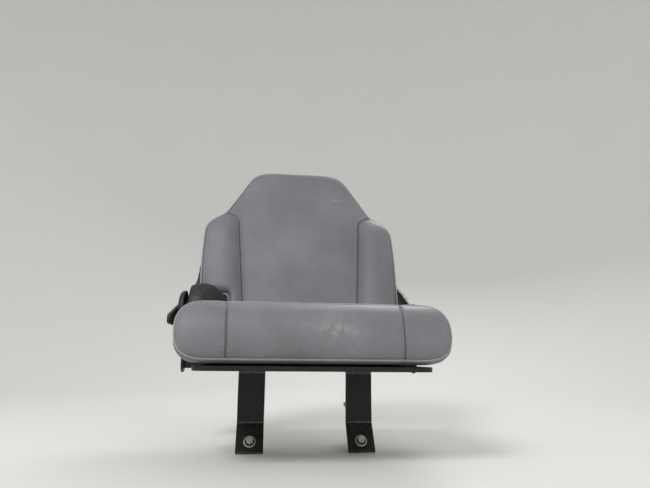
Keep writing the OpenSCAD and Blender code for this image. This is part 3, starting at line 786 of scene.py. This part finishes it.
class CREWSEAT_OT_stage(bpy.types.Operator):
    """Make the pale floor and backdrop, the soft lamps and the camera"""

    bl_idname = "crewseat.stage"
    bl_label = "Stage"

    def execute(self, context):
        look = context.scene.crew_seat_stage
        self.backdrop(context, look)
        for name, place, size, watts in (
            ("key", (-1.5, -1.7, 2.3), 1.1, 52),
            ("fill", (2.0, -1.4, 1.25), 1.3, 8),
            ("back", (0.9, 2.2, 2.3), 1.3, 26),
        ):
            self.lamp(context, name, place, size, watts)
        world = bpy.data.worlds.new("sky")
        world.use_nodes = True
        sky = world.node_tree.nodes["Background"]
        sky.inputs["Color"].default_value = (0.96, 0.98, 1.0, 1.0)
        sky.inputs["Strength"].default_value = look.sky
        context.scene.world = world
        context.scene.view_settings.view_transform = "Standard"
        self.camera(context, look)
        return {"FINISHED"}

    def backdrop(self, context, look):
        """Flat floor that curves up into a round backdrop."""
        bm = bmesh.new()
        curve_steps, turn_steps = 24, 96
        profile = [(0.0, 0.0), (look.radius, 0.0)]
        for i in range(1, curve_steps + 1):
            a = i / curve_steps * pi / 2
            profile.append((look.radius + look.sweep * sin(a), look.sweep * (1 - cos(a))))
        profile.append((look.radius + look.sweep, look.height))
        low = CAD_BOX[0].z - MM
        verts = [bm.verts.new((x, 0, low + z)) for x, z in profile]
        edges = [bm.edges.new(pair) for pair in zip(verts, verts[1:])]
        bmesh.ops.spin(
            bm, geom=verts + edges, axis=(0, 0, 1), cent=(0, 0, 0), steps=turn_steps, angle=2 * pi,
            use_merge=True
        )
        bmesh.ops.remove_doubles(bm, verts=bm.verts, dist=0.1 * MM)
        bmesh.ops.recalc_face_normals(bm, faces=bm.faces)
        if min(f.normal.z for f in bm.faces) < -0.5:
            bmesh.ops.reverse_faces(bm, faces=bm.faces)
        mesh = bpy.data.meshes.new("floor")
        bm.to_mesh(mesh)
        bm.free()
        mesh.shade_smooth()
        made, tree, outputs = shader("pale_floor")
        surface = tree.nodes["Principled BSDF"]
        shade = varied(tree, noise(tree, outputs["Object"], 0.5), look.floor, 0.985, 1.01)
        feed(tree, surface.inputs["Base Color"], shade)
        surface.inputs["Roughness"].default_value = 0.75
        mesh.materials.append(made)
        floor = bpy.data.objects.new("floor", mesh)
        context.scene.collection.objects.link(floor)

    def lamp(self, context, name, place, size, watts):
        """Soft round lamp that faces the middle of the seat and isn't seen itself."""
        data = bpy.data.lights.new(name, "AREA")
        data.shape = "DISK"
        data.size = size
        data.energy = watts
        made = bpy.data.objects.new(name, data)
        made.location = place
        middle = (CAD_BOX[0] + CAD_BOX[1]) / 2
        made.rotation_euler = (middle - Vector(place)).to_track_quat("-Z", "Y").to_euler()
        made.visible_camera = False
        context.scene.collection.objects.link(made)

    def camera(self, context, look):
        data = bpy.data.cameras.new("camera")
        data.lens = look.lens
        made = bpy.data.objects.new("camera", data)
        turn = (
            Matrix.Rotation(-look.yaw, 4, "Z") @ Matrix.Rotation(pi / 2 + look.pitch, 4, "X")
            @ Matrix.Rotation(look.roll, 4, "Z")
        )
        made.matrix_world = Matrix.Translation(look.camera) @ turn
        context.scene.collection.objects.link(made)
        context.scene.camera = made


# How far outside the cushion its rays start, the step of its piping's points, and the height of stitches
OUTSIDE = 0.6
WELT_STEP = 4 * MM
STITCH_LIFT = 0.1 * MM


class CREWSEAT_OT_cushion(bpy.types.Operator):
    """Fill and sew the seat cushion"""

    bl_idname = "crewseat.cushion"
    bl_label = "Seat cushion"

    def execute(self, context):
        self.look, self.seams = context.scene.crew_seat_upholstery, context.scene.crew_seat_cushion
        self.low, self.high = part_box("seat_cushion")
        made = piece("seat_cushion_cover", merged_copy("seat_cushion"), "seat_base", "grey_vinyl")
        mesh = remeshed(made, self.look.voxel)
        relaxed(mesh, 4)
        move_to(mesh, coords(mesh) - normals_of(mesh) * self.look.slack)
        self.round_front(mesh)
        inflated(made, self.held(made))
        self.sew(made)
        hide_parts("seat_cushion")
        self.trim(made)
        return {"FINISHED"}

    def round_front(self, mesh):
        """Rounds the front corners as seen from above, which fades out behind them."""
        radius, strength, full, gone = self.seams.front_r, 0.8, 10 * MM, 3
        p = coords(mesh)
        over = np.clip((np.abs(p[:, 0]) - (self.high.x - radius)) / radius, 0, 1)
        front = 1 - smooth_step(p[:, 1], self.low.y + full, self.low.y + gone * radius)
        p[:, 1] += strength * radius * (1 - np.sqrt(1 - over**2)) * front
        move_to(mesh, p)

    def seam_x(self, y):
        """Distance of a sewn seam from the middle, at a depth."""
        return self.seams.seam_x + self.seams.seam_spread * (y - self.low.y)

    def seam_gap(self, p):
        """Distance of points from the nearer of the two sewn seams."""
        return np.abs(np.abs(p[:, 0]) - self.seam_x(p[:, 1]))

    def hit(self, tree, x, y, outward):
        """Where the cover meets a ray that comes in from outside towards a place in its core."""
        core = Vector((x, y, (self.low.z + self.high.z) / 2))
        return struck(tree, core, -outward.normalized(), OUTSIDE)

    def front_ring(self, tree):
        """The welt round the front: along its top, round both ends and along its bottom."""
        reach, across_rays, end_rays = self.high.x - self.seams.core_x, 60, 24
        across = np.linspace(-reach, reach, across_rays)
        round_end = np.linspace(pi / 2, -pi / 2, end_rays)[1:-1]
        rays = [(x, pi / 2) for x in across]
        rays += [(reach, a) for a in round_end]
        rays += [(x, -pi / 2) for x in across[::-1]]
        rays += [(-reach, pi - a) for a in round_end[::-1]]
        found = []
        for x, a in rays:
            outward = Vector((cos(a), -np.interp(sin(a), (-1, 0, 1), self.seams.forward), sin(a)))
            found.append(self.hit(tree, x, self.low.y + self.seams.core_y, outward))
        return [pair for pair in found if pair]

    def end_line(self, tree, side):
        """The welt along one end, back from the front welt to where the cushion's top ends."""
        start, end, rays = self.low.y + 0.55 * self.seams.core_y, self.high.y - 36 * MM, 70
        lowest = self.high.z - 40 * MM
        outward = Vector((side * cos(self.seams.edge_angle), 0, sin(self.seams.edge_angle)))
        found = []
        for y in np.linspace(start, end, rays):
            pair = self.hit(tree, side * (self.high.x - self.seams.core_x), y, outward)
            if pair is None or pair[0].z < lowest:
                break
            found.append(pair)
        return found

    def welts(self, made):
        """Lines of the three welts with their normals; the first is closed."""
        tree = tree_of(made)
        return [self.front_ring(tree)] + [self.end_line(tree, side) for side, _ in SIDES]

    def welt_gap(self, p, lines):
        """Distance of points from the nearest welt."""
        gaps = []
        for index, line in enumerate(lines):
            path = [tuple(place) for place, _ in line]
            gaps.append(line_distance(p, np.array(path + path[:1] if index == 0 else path)))
        return np.min(gaps, axis=0)

    def held(self, made):
        """How firmly each point of the cover is held by its seams and by the pan below it."""
        voxel = self.look.voxel
        rear, rear_end, rear_corner = self.high.y - 60 * MM, self.high.y - 26 * MM, self.high.x - 90 * MM
        p = coords(made.data)
        gap = np.minimum(self.seam_gap(p), self.welt_gap(p, self.welts(made)))
        held = 1 - smooth_step(gap, voxel, 2.5 * voxel)
        held[p[:, 2] < self.low.z + 2 * voxel] = 1
        held[(p[:, 1] > rear) & (np.abs(p[:, 0]) > rear_corner)] = 1
        held[p[:, 1] > rear_end] = 1
        return held

    def sew(self, made):
        """Pulls the seams in and marks soil and scuffs."""
        welt_depth, seam_soil_w, welt_soil_w = 1.2 * MM, 2.4 * MM, 3.6 * MM
        scuff, scuff_size = (38 * MM, self.low.y, self.low.z + 62 * MM), (36 * MM, 50 * MM, 26 * MM)
        look, mesh, lines = self.look, made.data, self.welts(made)
        p = coords(mesh)
        refined(mesh, np.minimum(self.seam_gap(p), self.welt_gap(p, lines)) < 1.3 * look.seam_w)
        p, n = coords(mesh), normals_of(mesh)
        sewn, piped = self.seam_gap(p), self.welt_gap(p, lines)
        above = smooth_step(p[:, 2], self.low.z + 4 * MM, self.low.z + 14 * MM)
        depth = valley(sewn, look.seam_w, look.seam_depth) * above + valley(piped, look.seam_w, welt_depth)
        depth += puckers(sewn, p[:, 1] - p[:, 2], look) * above
        move_to(mesh, p - n * depth[:, None])
        soil = bell(sewn, seam_soil_w) * above + 0.7 * bell(piped, welt_soil_w)
        store(mesh, "seam", np.clip(soil, 0, 1))
        store(mesh, "rubbed", patch(p, scuff, scuff_size))

    def trim(self, made):
        """Piping round the front and along the ends, and the seams' stitches."""
        stitch_side = 3.4 * MM
        lines = []
        for index, line in enumerate(self.welts(made)):
            closed = index == 0
            path = [tuple(place + normal * 0.45 * self.look.welt_r) for place, normal in line]
            steady = even(path + path[:1], WELT_STEP)[:-1] if closed else even(path, WELT_STEP)
            lines.append((softened(steady, 3, closed), closed))
        welt("seat_cushion_piping", lines, "seat_base")
        tree = tree_of(made)
        rows = [
            self.seam_row(tree, side, offset) for side, _ in SIDES for offset in (-stitch_side, stitch_side)
        ]
        stitching("seat_cushion_stitching", rows, "seat_base")

    def seam_row(self, tree, side, offset):
        """Line beside a seam, from the lower front edge up, over and back along the cushion's top."""
        centre = Vector((0, self.low.y + 95 * MM, self.low.z + 45 * MM))
        first, last, rays = radians(205), radians(12), 150
        lowest, rear = self.low.z + 12 * MM, self.high.y - 30 * MM
        found = []
        for a in np.linspace(first, last, rays):
            outward = Vector((0, cos(a), sin(a)))
            aim = centre.copy()
            aim.x = side * self.seam_x((centre + outward * 0.1).y) + offset
            pair = struck(tree, aim, -outward, OUTSIDE)
            if pair and pair[0].y < rear:
                aim.x = side * self.seam_x(pair[0].y) + offset
                pair = struck(tree, aim, -outward, OUTSIDE, STITCH_LIFT)
                if pair and pair[0].z > lowest:
                    found.append(pair)
        return found


# Where the pad's grooves turn outwards at the neck, and their straight ends after the turn
TURN_R = 34 * MM
TURN_ANGLE = radians(62)
TURN_REACH = 18 * MM
TURN_HEIGHT = 30 * MM
END_REACH = 60 * MM
END_HEIGHT = 32 * MM
END_SLOPE = 0.53


class CREWSEAT_OT_backrest(bpy.types.Operator):
    """Fill and sew the backrest pad"""

    bl_idname = "crewseat.backrest"
    bl_label = "Backrest pad"

    def execute(self, context):
        self.look, self.form = context.scene.crew_seat_upholstery, context.scene.crew_seat_backrest
        self.turn_x = self.form.groove_x + self.form.groove_spread * self.form.groove_top
        made = piece("backrest_cover", self.slab(), "backrest", "grey_vinyl")
        mesh = remeshed(made, self.look.voxel)
        self.shape(mesh)
        mesh = remeshed(made, self.look.voxel)
        relaxed(mesh, 3)
        mesh = inflated(made, self.held(mesh))
        self.sew(mesh)
        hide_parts("backrest_pad")
        self.trim(made)
        return {"FINISHED"}

    def inward(self):
        return Vector((0, cos(self.form.lean), -sin(self.form.lean)))

    def slab(self):
        """The pad's rear part, closed where its cushioned front starts; its outline there is kept."""
        step = 6 * MM
        bm = merged_copy("backrest_pad")
        normal = self.inward()
        cut = bmesh.ops.bisect_plane(
            bm, geom=bm.verts[:] + bm.edges[:] + bm.faces[:], dist=0.001 * MM,
            plane_co=HINGE + normal * (self.form.gusset + step), plane_no=normal, clear_inner=True
        )
        edges = [e for e in cut["geom_cut"] if isinstance(e, bmesh.types.BMEdge)]
        self.outline = to_backrest(self.ordered(edges), self.form.lean)[:, [0, 2]]
        extruded = bmesh.ops.extrude_edge_only(bm, edges=edges)["geom"]
        front = [v for v in extruded if isinstance(v, bmesh.types.BMVert)]
        bmesh.ops.translate(bm, vec=-step * normal, verts=front)
        bmesh.ops.holes_fill(bm, edges=[e for e in bm.edges if e.is_boundary], sides=0)
        bmesh.ops.recalc_face_normals(bm, faces=bm.faces)
        return bm

    def ordered(self, edges):
        """Places of the vertices along a closed loop of edges."""
        start = edges[0].verts[0]
        loop, edge, vert = [start], edges[0], edges[0].verts[1]
        known = set(edges)
        while vert != start:
            loop.append(vert)
            edge = next(e for e in vert.link_edges if e in known and e != edge)
            vert = edge.other_vert(vert)
        return [tuple(v.co) for v in loop + [start]]

    def groove(self, side):
        """Line of a groove: straight up, then turning outwards to the neck."""
        below, turn_steps = 60 * MM, 8
        form = self.form
        line = [(form.groove_x - below * form.groove_spread, -below), (self.turn_x, form.groove_top)]
        for i in range(1, turn_steps + 1):
            a = i / turn_steps * TURN_ANGLE
            line.append((self.turn_x + TURN_R * (1 - cos(a)), form.groove_top + TURN_R * sin(a)))
        line.append((line[-1][0] + END_REACH, line[-1][1] + END_HEIGHT))
        return np.array([(side * x, h) for x, h in line])

    def gaps(self, q):
        """Distance from the outline and, positive towards the sides, from the nearer groove."""
        form, turn_x = self.form, self.turn_x
        out, up = np.abs(q[:, 0]), q[:, 2]
        edge = line_distance(q[:, [0, 2]], self.outline)
        grooves = [line_distance(q[:, [0, 2]], self.groove(side)) for side, _ in SIDES]
        groove = np.where(q[:, 0] < 0, *grooves)
        bend = form.groove_top + np.sqrt(np.clip(TURN_R**2 - (out - turn_x - TURN_R) ** 2, 0, None))
        flat = form.groove_top + TURN_HEIGHT + END_SLOPE * (out - turn_x - TURN_REACH)
        roof = np.where(out < turn_x + TURN_REACH, bend, flat)
        line_x = form.groove_x + form.groove_spread * up
        outside = (out > line_x) & (up < np.maximum(roof, form.groove_top))
        outside &= out > np.where(up > form.groove_top, turn_x, 0)
        return edge, np.where(outside, groove, -groove)

    def shape(self, mesh):
        """Raises the slab's front into the centre panel and the bolsters."""
        form, crown_h, sunk, fall_share, fall_end = self.form, 4 * MM, 2 * MM, 0.42, 3.2
        fade_start, fade_end = form.groove_top - form.fade + 60 * MM, form.groove_top + 62 * MM
        q = to_backrest(coords(mesh), form.lean)
        edge, groove = self.gaps(q)
        round_off = np.sqrt(1 - (1 - np.clip(edge / form.border, 0, 1)) ** 2)
        out = np.clip(groove, 0, None)
        rise = np.sin(np.clip(out / form.bolster_rise, 0, 1) * pi / 2)
        fall = 1 - fall_share * smooth_step(out, form.bolster_rise, fall_end * form.bolster_rise)
        bolster = form.bolster * rise * fall * (1 - smooth_step(q[:, 2], fade_start, fade_end))
        crown = crown_h * np.cos(np.clip(q[:, 0] / form.groove_x, -1, 1) * pi / 2) * (groove < 0)
        height = (form.panel - sunk + crown + bolster) * round_off
        front = q[:, 1] < form.gusset + self.look.voxel * 0.5
        q[front, 1] -= height[front]
        move_to(mesh, from_backrest(q, form.lean))

    def held(self, mesh):
        """How firmly each point of the cover is held by its grooves, its border and its rear."""
        q = to_backrest(coords(mesh), self.form.lean)
        edge, groove = self.gaps(q)
        line = np.minimum(np.abs(groove), np.abs(edge - self.form.border_welt))
        held = 1 - smooth_step(line, self.look.voxel, 2.5 * self.look.voxel)
        held[q[:, 1] > self.form.gusset + 4 * MM] = 1
        held[edge < self.form.border_welt] = 1
        return held

    def sew(self, mesh):
        """Pulls the grooves and the border in and marks soil and scuffs."""
        welt_depth, groove_soil_w, welt_soil_w = 1.4 * MM, 2.8 * MM, 3.4 * MM
        scuff, scuff_size = (112 * MM, 20 * MM, 396 * MM), (20 * MM, 50 * MM, 22 * MM)
        look, form = self.look, self.form
        edge, groove = self.gaps(to_backrest(coords(mesh), form.lean))
        refined(mesh, np.minimum(np.abs(groove), np.abs(edge - form.border_welt)) < 1.3 * look.seam_w)
        p, n = coords(mesh), normals_of(mesh)
        q = to_backrest(p, form.lean)
        edge, groove = self.gaps(q)
        sewn, piped = np.abs(groove), np.abs(edge - form.border_welt)
        front = 1 - smooth_step(q[:, 1], form.gusset, form.gusset + 8 * MM)
        depth = valley(sewn, look.seam_w, 1.3 * look.seam_depth) * front
        depth += puckers(sewn, q[:, 2], look) * front
        depth += valley(piped, look.seam_w, welt_depth) * front
        move_to(mesh, p - n * depth[:, None])
        soil = bell(sewn, groove_soil_w) + 0.7 * bell(piped, welt_soil_w)
        store(mesh, "seam", np.clip(soil, 0, 1) * front)
        store(mesh, "rubbed", patch(q, scuff, scuff_size))

    def on_front(self, tree, line, lift):
        """Where a flat line, across and up the backrest, meets the cover from in front."""
        flat = np.stack([line[:, 0], 0 * line[:, 0], line[:, 1]], axis=1)
        return on_surface(tree, from_backrest(flat, self.form.lean), self.inward(), lift)

    def across(self, step):
        """Directions of length 1 at right angles to the steps of a flat line."""
        return np.stack([-step[:, 1], step[:, 0]], axis=1) / np.linalg.norm(step, axis=1, keepdims=True)

    def trim(self, made):
        """Piping round the border and a row of stitches beside each groove."""
        stitch_side, lowest, outline_gap = 8 * MM, -2 * MM, 12 * MM
        border_step, groove_step = 5 * MM, 3 * MM
        tree = tree_of(made)
        ring = softened(even(self.outline, border_step)[:-1], 2, True)
        across = self.across(np.roll(ring, -1, 0) - np.roll(ring, 1, 0))
        centre = self.outline[:-1].mean(0)
        across *= np.sign(((centre - ring) * across).sum(1, keepdims=True))
        border = self.on_front(tree, ring + across * self.form.border_welt, 0.6 * self.look.welt_r)
        welt("backrest_piping", [(softened([p for p, _ in border], 4, True), True)], "backrest")
        rows = []
        for side, _ in SIDES:
            groove = even(self.groove(side), groove_step)
            groove = groove[groove[:, 1] > lowest]
            normal = self.across(np.gradient(groove, axis=0))
            row = groove + normal * np.sign(-side * normal[0, 0]) * stitch_side
            row = row[line_distance(row, self.outline) > outline_gap]
            rows.append(self.on_front(tree, row, STITCH_LIFT))
        stitching("backrest_stitching", rows, "backrest")


# Sizes of the floor bolts in the CAD part
BAR_T = 6 * MM
WASHER_T = 2 * MM
BOLT_FLATS = 13 * MM


class CREWSEAT_OT_floor_bolts(bpy.types.Operator):
    """Make the threaded floor bolts with their washers"""

    bl_idname = "crewseat.floor_bolts"
    bl_label = "Floor bolts"

    def execute(self, context):
        for mount, row in zip(BOLTS, ("front", "rear")):
            half = mount["dims"]["pcd_mm"] / 2 * MM
            for side, word in SIDES:
                self.bolt(context, f"{row}_bolt_{word}", mount, side * half)
        return {"FINISHED"}

    def bolt(self, context, node, mount, x):
        """One bolt with its washer, modelled upright and then turned onto its bracket."""
        seat, runout = BAR_T + WASHER_T, 1.5 * MM
        # the painted shadow covers the washer round the head and the head's underside, where the head's
        # shadow falls
        painted_shadow_r, painted_shadow_w, painted_shadow_reach = 0.78 * BOLT_FLATS, 0.06 * BOLT_FLATS, 0.62 * BOLT_FLATS
        into = Vector(mount["axis"])
        origin = Vector(mount["pos_m"]) + Vector((x, 0, 0))
        arms = [v.co - origin for v in frame["nodes"][node].data.vertices]
        reach = [arm.dot(-into) for arm in arms]
        head_top, stud_end = max(reach), -min(reach)
        washer_r = max((arm - into * arm.dot(into)).length for arm in arms)
        stud_r = mount["dims"]["stud_r_mm"] * MM
        bm = bmesh.new()
        painted_shadow = bm.verts.layers.float.new("painted_shadow")
        self.washer(bm, washer_r, BAR_T, seat)
        top = top_face(bm)
        # marks the painted shadow ring on the washer's top round the head
        bmesh.ops.inset_region(bm, faces=[top], thickness=top.verts[0].co.xy.length - painted_shadow_r)
        bmesh.ops.inset_region(bm, faces=[top], thickness=painted_shadow_w)
        for vert in top.verts:
            vert[painted_shadow] = 1.0
        self.hex_head(bm, BOLT_FLATS, seat, head_top)
        # the head's underside gets the painted shadow too
        for vert in bm.verts:
            if abs(vert.co.z - seat) < 0.01 * MM and vert.co.xy.length < painted_shadow_reach:
                vert[painted_shadow] = 1.0
        round_bar(bm, 0.9 * stud_r, runout - stud_end, BAR_T, 32)
        self.thread(bm, stud_r, -stud_end, 0.0, context.scene.crew_seat_hardware.thread_pitch)
        turn = (-into).to_track_quat("Z", "Y").to_matrix().to_4x4()
        bmesh.ops.transform(bm, matrix=Matrix.Translation(origin) @ turn, verts=bm.verts)
        made = piece(node + "_set", bm, body_of(node), "zinc_fixings")
        smooth_shaded(made, radians(28))
        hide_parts(node)

    def washer(self, bm, radius, low, high):
        """Disc with rounded rims."""
        verts = round_bar(bm, radius, low, high, 64)
        edges = {e for v in verts for e in v.link_edges}
        rims = [e for e in edges if abs(e.verts[0].co.z - e.verts[1].co.z) < 0.01 * MM]
        bevelled(bm, rims, 0.25 * MM, 2)

    def hex_head(self, bm, flats, low, high):
        """Hexagon whose top corners are chamfered by a cone."""
        flat_r, cone_slope = 0.475 * flats, 0.55
        round_bar(bm, flats / sqrt(3), low, high, 6)
        bmesh.ops.subdivide_edges(bm, edges=top_face(bm).edges[:], cuts=9)
        top = top_face(bm)
        rim = top.verts[:]
        bmesh.ops.inset_region(bm, faces=[top], thickness=0.2 * MM)
        for vert in top.verts:
            vert.co = Vector((*vert.co.xy.normalized() * flat_r, high))
        for vert in rim:
            vert.co.z = high - (vert.co.xy.length - flat_r) * cone_slope

    def thread(self, bm, radius, low, high, pitch):
        """Helical ridge swept up the stud."""
        root, steps_a_turn = radius - 0.55 * pitch, 20
        ridge = ((root, 0.0), (radius, 0.45), (radius, 0.55), (root, 1.0))
        verts = [bm.verts.new((r, 0, low + share * pitch)) for r, share in ridge]
        edges = [bm.edges.new(pair) for pair in zip(verts, verts[1:])]
        turns = (high - low) / pitch - 1
        steps = int(turns * steps_a_turn)
        bmesh.ops.spin(
            bm, geom=verts + edges, axis=(0, 0, 1), cent=(0, 0, 0), steps=steps, angle=2 * pi * turns,
            dvec=(0, 0, turns * pitch / steps), use_merge=False
        )


class CREWSEAT_OT_steelwork(bpy.types.Operator):
    """Round and finish the brackets, the pan, the plates, the arms and the tubes"""

    bl_idname = "crewseat.steelwork"
    bl_label = "Steelwork"

    def execute(self, context):
        edge = context.scene.crew_seat_hardware.steel_edge
        for _, word in SIDES:
            for part in ("front_leg", "rear_foot"):
                # the bends of the brackets are marked for a painted highlight
                rounded_node(f"{part}_{word}", "black_steel", edge, bend_highlight_w=3 * MM)
            for part in ("pan_rail", "hinge_plate", "backrest_arm"):
                rounded_node(f"{part}_{word}", "black_steel", edge)
        for node in ("rear_crossbar", "lower_back_tube", "upper_back_tube"):
            rounded_node(node, "black_steel", 0.4 * edge)
        rounded_node("seat_pan", "black_steel", 0.5 * edge)
        for _, word in SIDES:
            rounded_node(f"hinge_pin_{word}", "zinc_fixings", edge)
        self.crossbar_welds()
        self.bracket_screws()
        return {"FINISHED"}

    def crossbar_welds(self):
        """Beads round both ends of the rear crossbar, where the hinge plates are welded on."""
        inset, steps, squareness = 0.4 * MM, 40, 0.85
        low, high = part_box("rear_crossbar")
        middle = (low + high) / 2
        half = (high.z - low.z) / 2
        lines = []
        for x in (low.x + inset, high.x - inset):
            line = []
            for i in range(steps + 1):
                a = i / steps * 2 * pi
                out = Vector((0, cos(a), sin(a)))
                reach = half / max(abs(cos(a)), abs(sin(a))) ** squareness
                line.append((Vector((x, middle.y, middle.z)) + out * reach, out))
            lines.append(line)
        weld("crossbar_welds", lines, "seat_base")

    def bracket_screws(self):
        """Screws that hold the brackets to the rails, seen from below."""
        inset, flange = 14 * MM, 8 * MM
        spots = []
        for part in ("front_leg", "rear_foot"):
            for _, word in SIDES:
                low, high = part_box(f"{part}_{word}")
                tree = tree_of(frame["nodes"][f"{part}_{word}"])
                for y in (low.y + inset, high.y - inset):
                    pair = struck(tree, Vector(((low.x + high.x) / 2, y, low.z)), -DOWN, 0.1)
                    if pair and high.z - pair[0].z < flange:
                        spots.append((pair[0], DOWN))
        socket_screws("bracket_screws", spots, "seat_base", "zinc_fixings")


class CREWSEAT_OT_covers(bpy.types.Operator):
    """Round and finish the moulded covers, the lever and the back shell"""

    bl_idname = "crewseat.covers"
    bl_label = "Moulded covers"

    def execute(self, context):
        edge = context.scene.crew_seat_hardware.plastic_edge
        self.lean = context.scene.crew_seat_backrest.lean
        for node in ("hinge_cap_left", "hinge_cap_right", "arm_cover_left", "arm_cover_right"):
            rounded_node(node, "black_plastic", edge)
        rounded_node("recliner_lever", "black_plastic", 2 * edge, segments=3)
        rounded_node("recliner_hub_cover", "black_plastic", edge)
        rounded_node("back_shell", "black_plastic", 0.5 * edge, angle=radians(40))
        self.shell_screws()
        self.arm_screws()
        self.grip_ribs()
        return {"FINISHED"}

    def spots(self, node, places, direction):
        """Where rays through places, in millimetres of the backrest, meet a node, with its normals there."""
        aims = from_backrest(np.array(places) * MM, self.lean)
        return on_surface(tree_of(frame["nodes"][node]), aims, direction, 0.0, back=0.5)

    def shell_screws(self):
        """Screws round the back shell's rim, from the shoulders to the head and the lower edge."""
        rim = ((222, 60), (222, 210), (150, 370), (96, 462), (110, 6))
        forward = Vector((0, -cos(self.lean), sin(self.lean)))
        places = [(side * x, 0, height) for side, _ in SIDES for x, height in rim]
        spots = self.spots("back_shell", places, forward)
        socket_screws("back_shell_screws", spots, "backrest", "black_steel")

    def arm_screws(self):
        """Two screws in each arm cover."""
        places = ((0, 79, 182), (0, 62, 98))
        spots = []
        for side, word in SIDES:
            spots += self.spots(f"arm_cover_{word}", places, Vector((-side, 0, 0)))
        socket_screws("arm_cover_screws", spots, "backrest", "black_steel")

    def grip_ribs(self):
        """Raised ribs across the grip of the lever, on its outer face."""
        ribs, first, spacing, rib_r, rays, ends = 5, 9 * MM, 6 * MM, 0.8 * MM, 90, 4
        name = "recliner_lever_ribs"
        low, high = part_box("recliner_lever")
        tree = tree_of(frame["nodes"]["recliner_lever"])
        lines = []
        for i in range(ribs):
            y = low.y + first + spacing * i
            aims = [Vector((low.x, y, z)) for z in np.linspace(low.z, high.z, rays)]
            found = on_surface(tree, aims, Vector((1, 0, 0)), 0.0, back=0.1)
            line = [tuple(place) for place, _ in found if abs(place.x - low.x) < 0.1 * MM]
            lines.append((np.array(line)[ends:-ends], False))
        made = piece(name, tube_mesh(name, lines, rib_r), "seat_base", "black_plastic")
        made.data.shade_smooth()


class CREWSEAT_PT_panel(bpy.types.Panel):
    """Buttons that make the seat's pieces"""

    bl_idname = "CREWSEAT_PT_panel"
    bl_label = "Crew Seat"
    bl_space_type = "VIEW_3D"
    bl_region_type = "UI"
    bl_category = "Crew Seat"

    def draw(self, context):
        for operator in OPERATORS:
            self.layout.operator(operator.bl_idname)


GROUPS = {
    "crew_seat_stage": CrewSeatStage,
    "crew_seat_upholstery": CrewSeatUpholstery,
    "crew_seat_cushion": CrewSeatCushion,
    "crew_seat_backrest": CrewSeatBackrest,
    "crew_seat_hardware": CrewSeatHardware,
}
OPERATORS = (
    CREWSEAT_OT_stage,
    CREWSEAT_OT_cushion,
    CREWSEAT_OT_backrest,
    CREWSEAT_OT_floor_bolts,
    CREWSEAT_OT_steelwork,
    CREWSEAT_OT_covers,
)


def register():
    for group in GROUPS.values():
        bpy.utils.register_class(group)
    for name, group in GROUPS.items():
        setattr(bpy.types.Scene, name, bpy.props.PointerProperty(type=group))
    for operator in OPERATORS:
        bpy.utils.register_class(operator)
    bpy.utils.register_class(CREWSEAT_PT_panel)


def unregister():
    bpy.utils.unregister_class(CREWSEAT_PT_panel)
    for operator in reversed(OPERATORS):
        bpy.utils.unregister_class(operator)
    for name in GROUPS:
        delattr(bpy.types.Scene, name)
    for group in reversed(GROUPS.values()):
        bpy.utils.unregister_class(group)


def main():
    register()
    bpy.ops.crewseat.stage()
    bpy.ops.crewseat.cushion()
    bpy.ops.crewseat.backrest()
    bpy.ops.crewseat.floor_bolts()
    bpy.ops.crewseat.steelwork()
    bpy.ops.crewseat.covers()


if __name__ == "__main__":
    main()
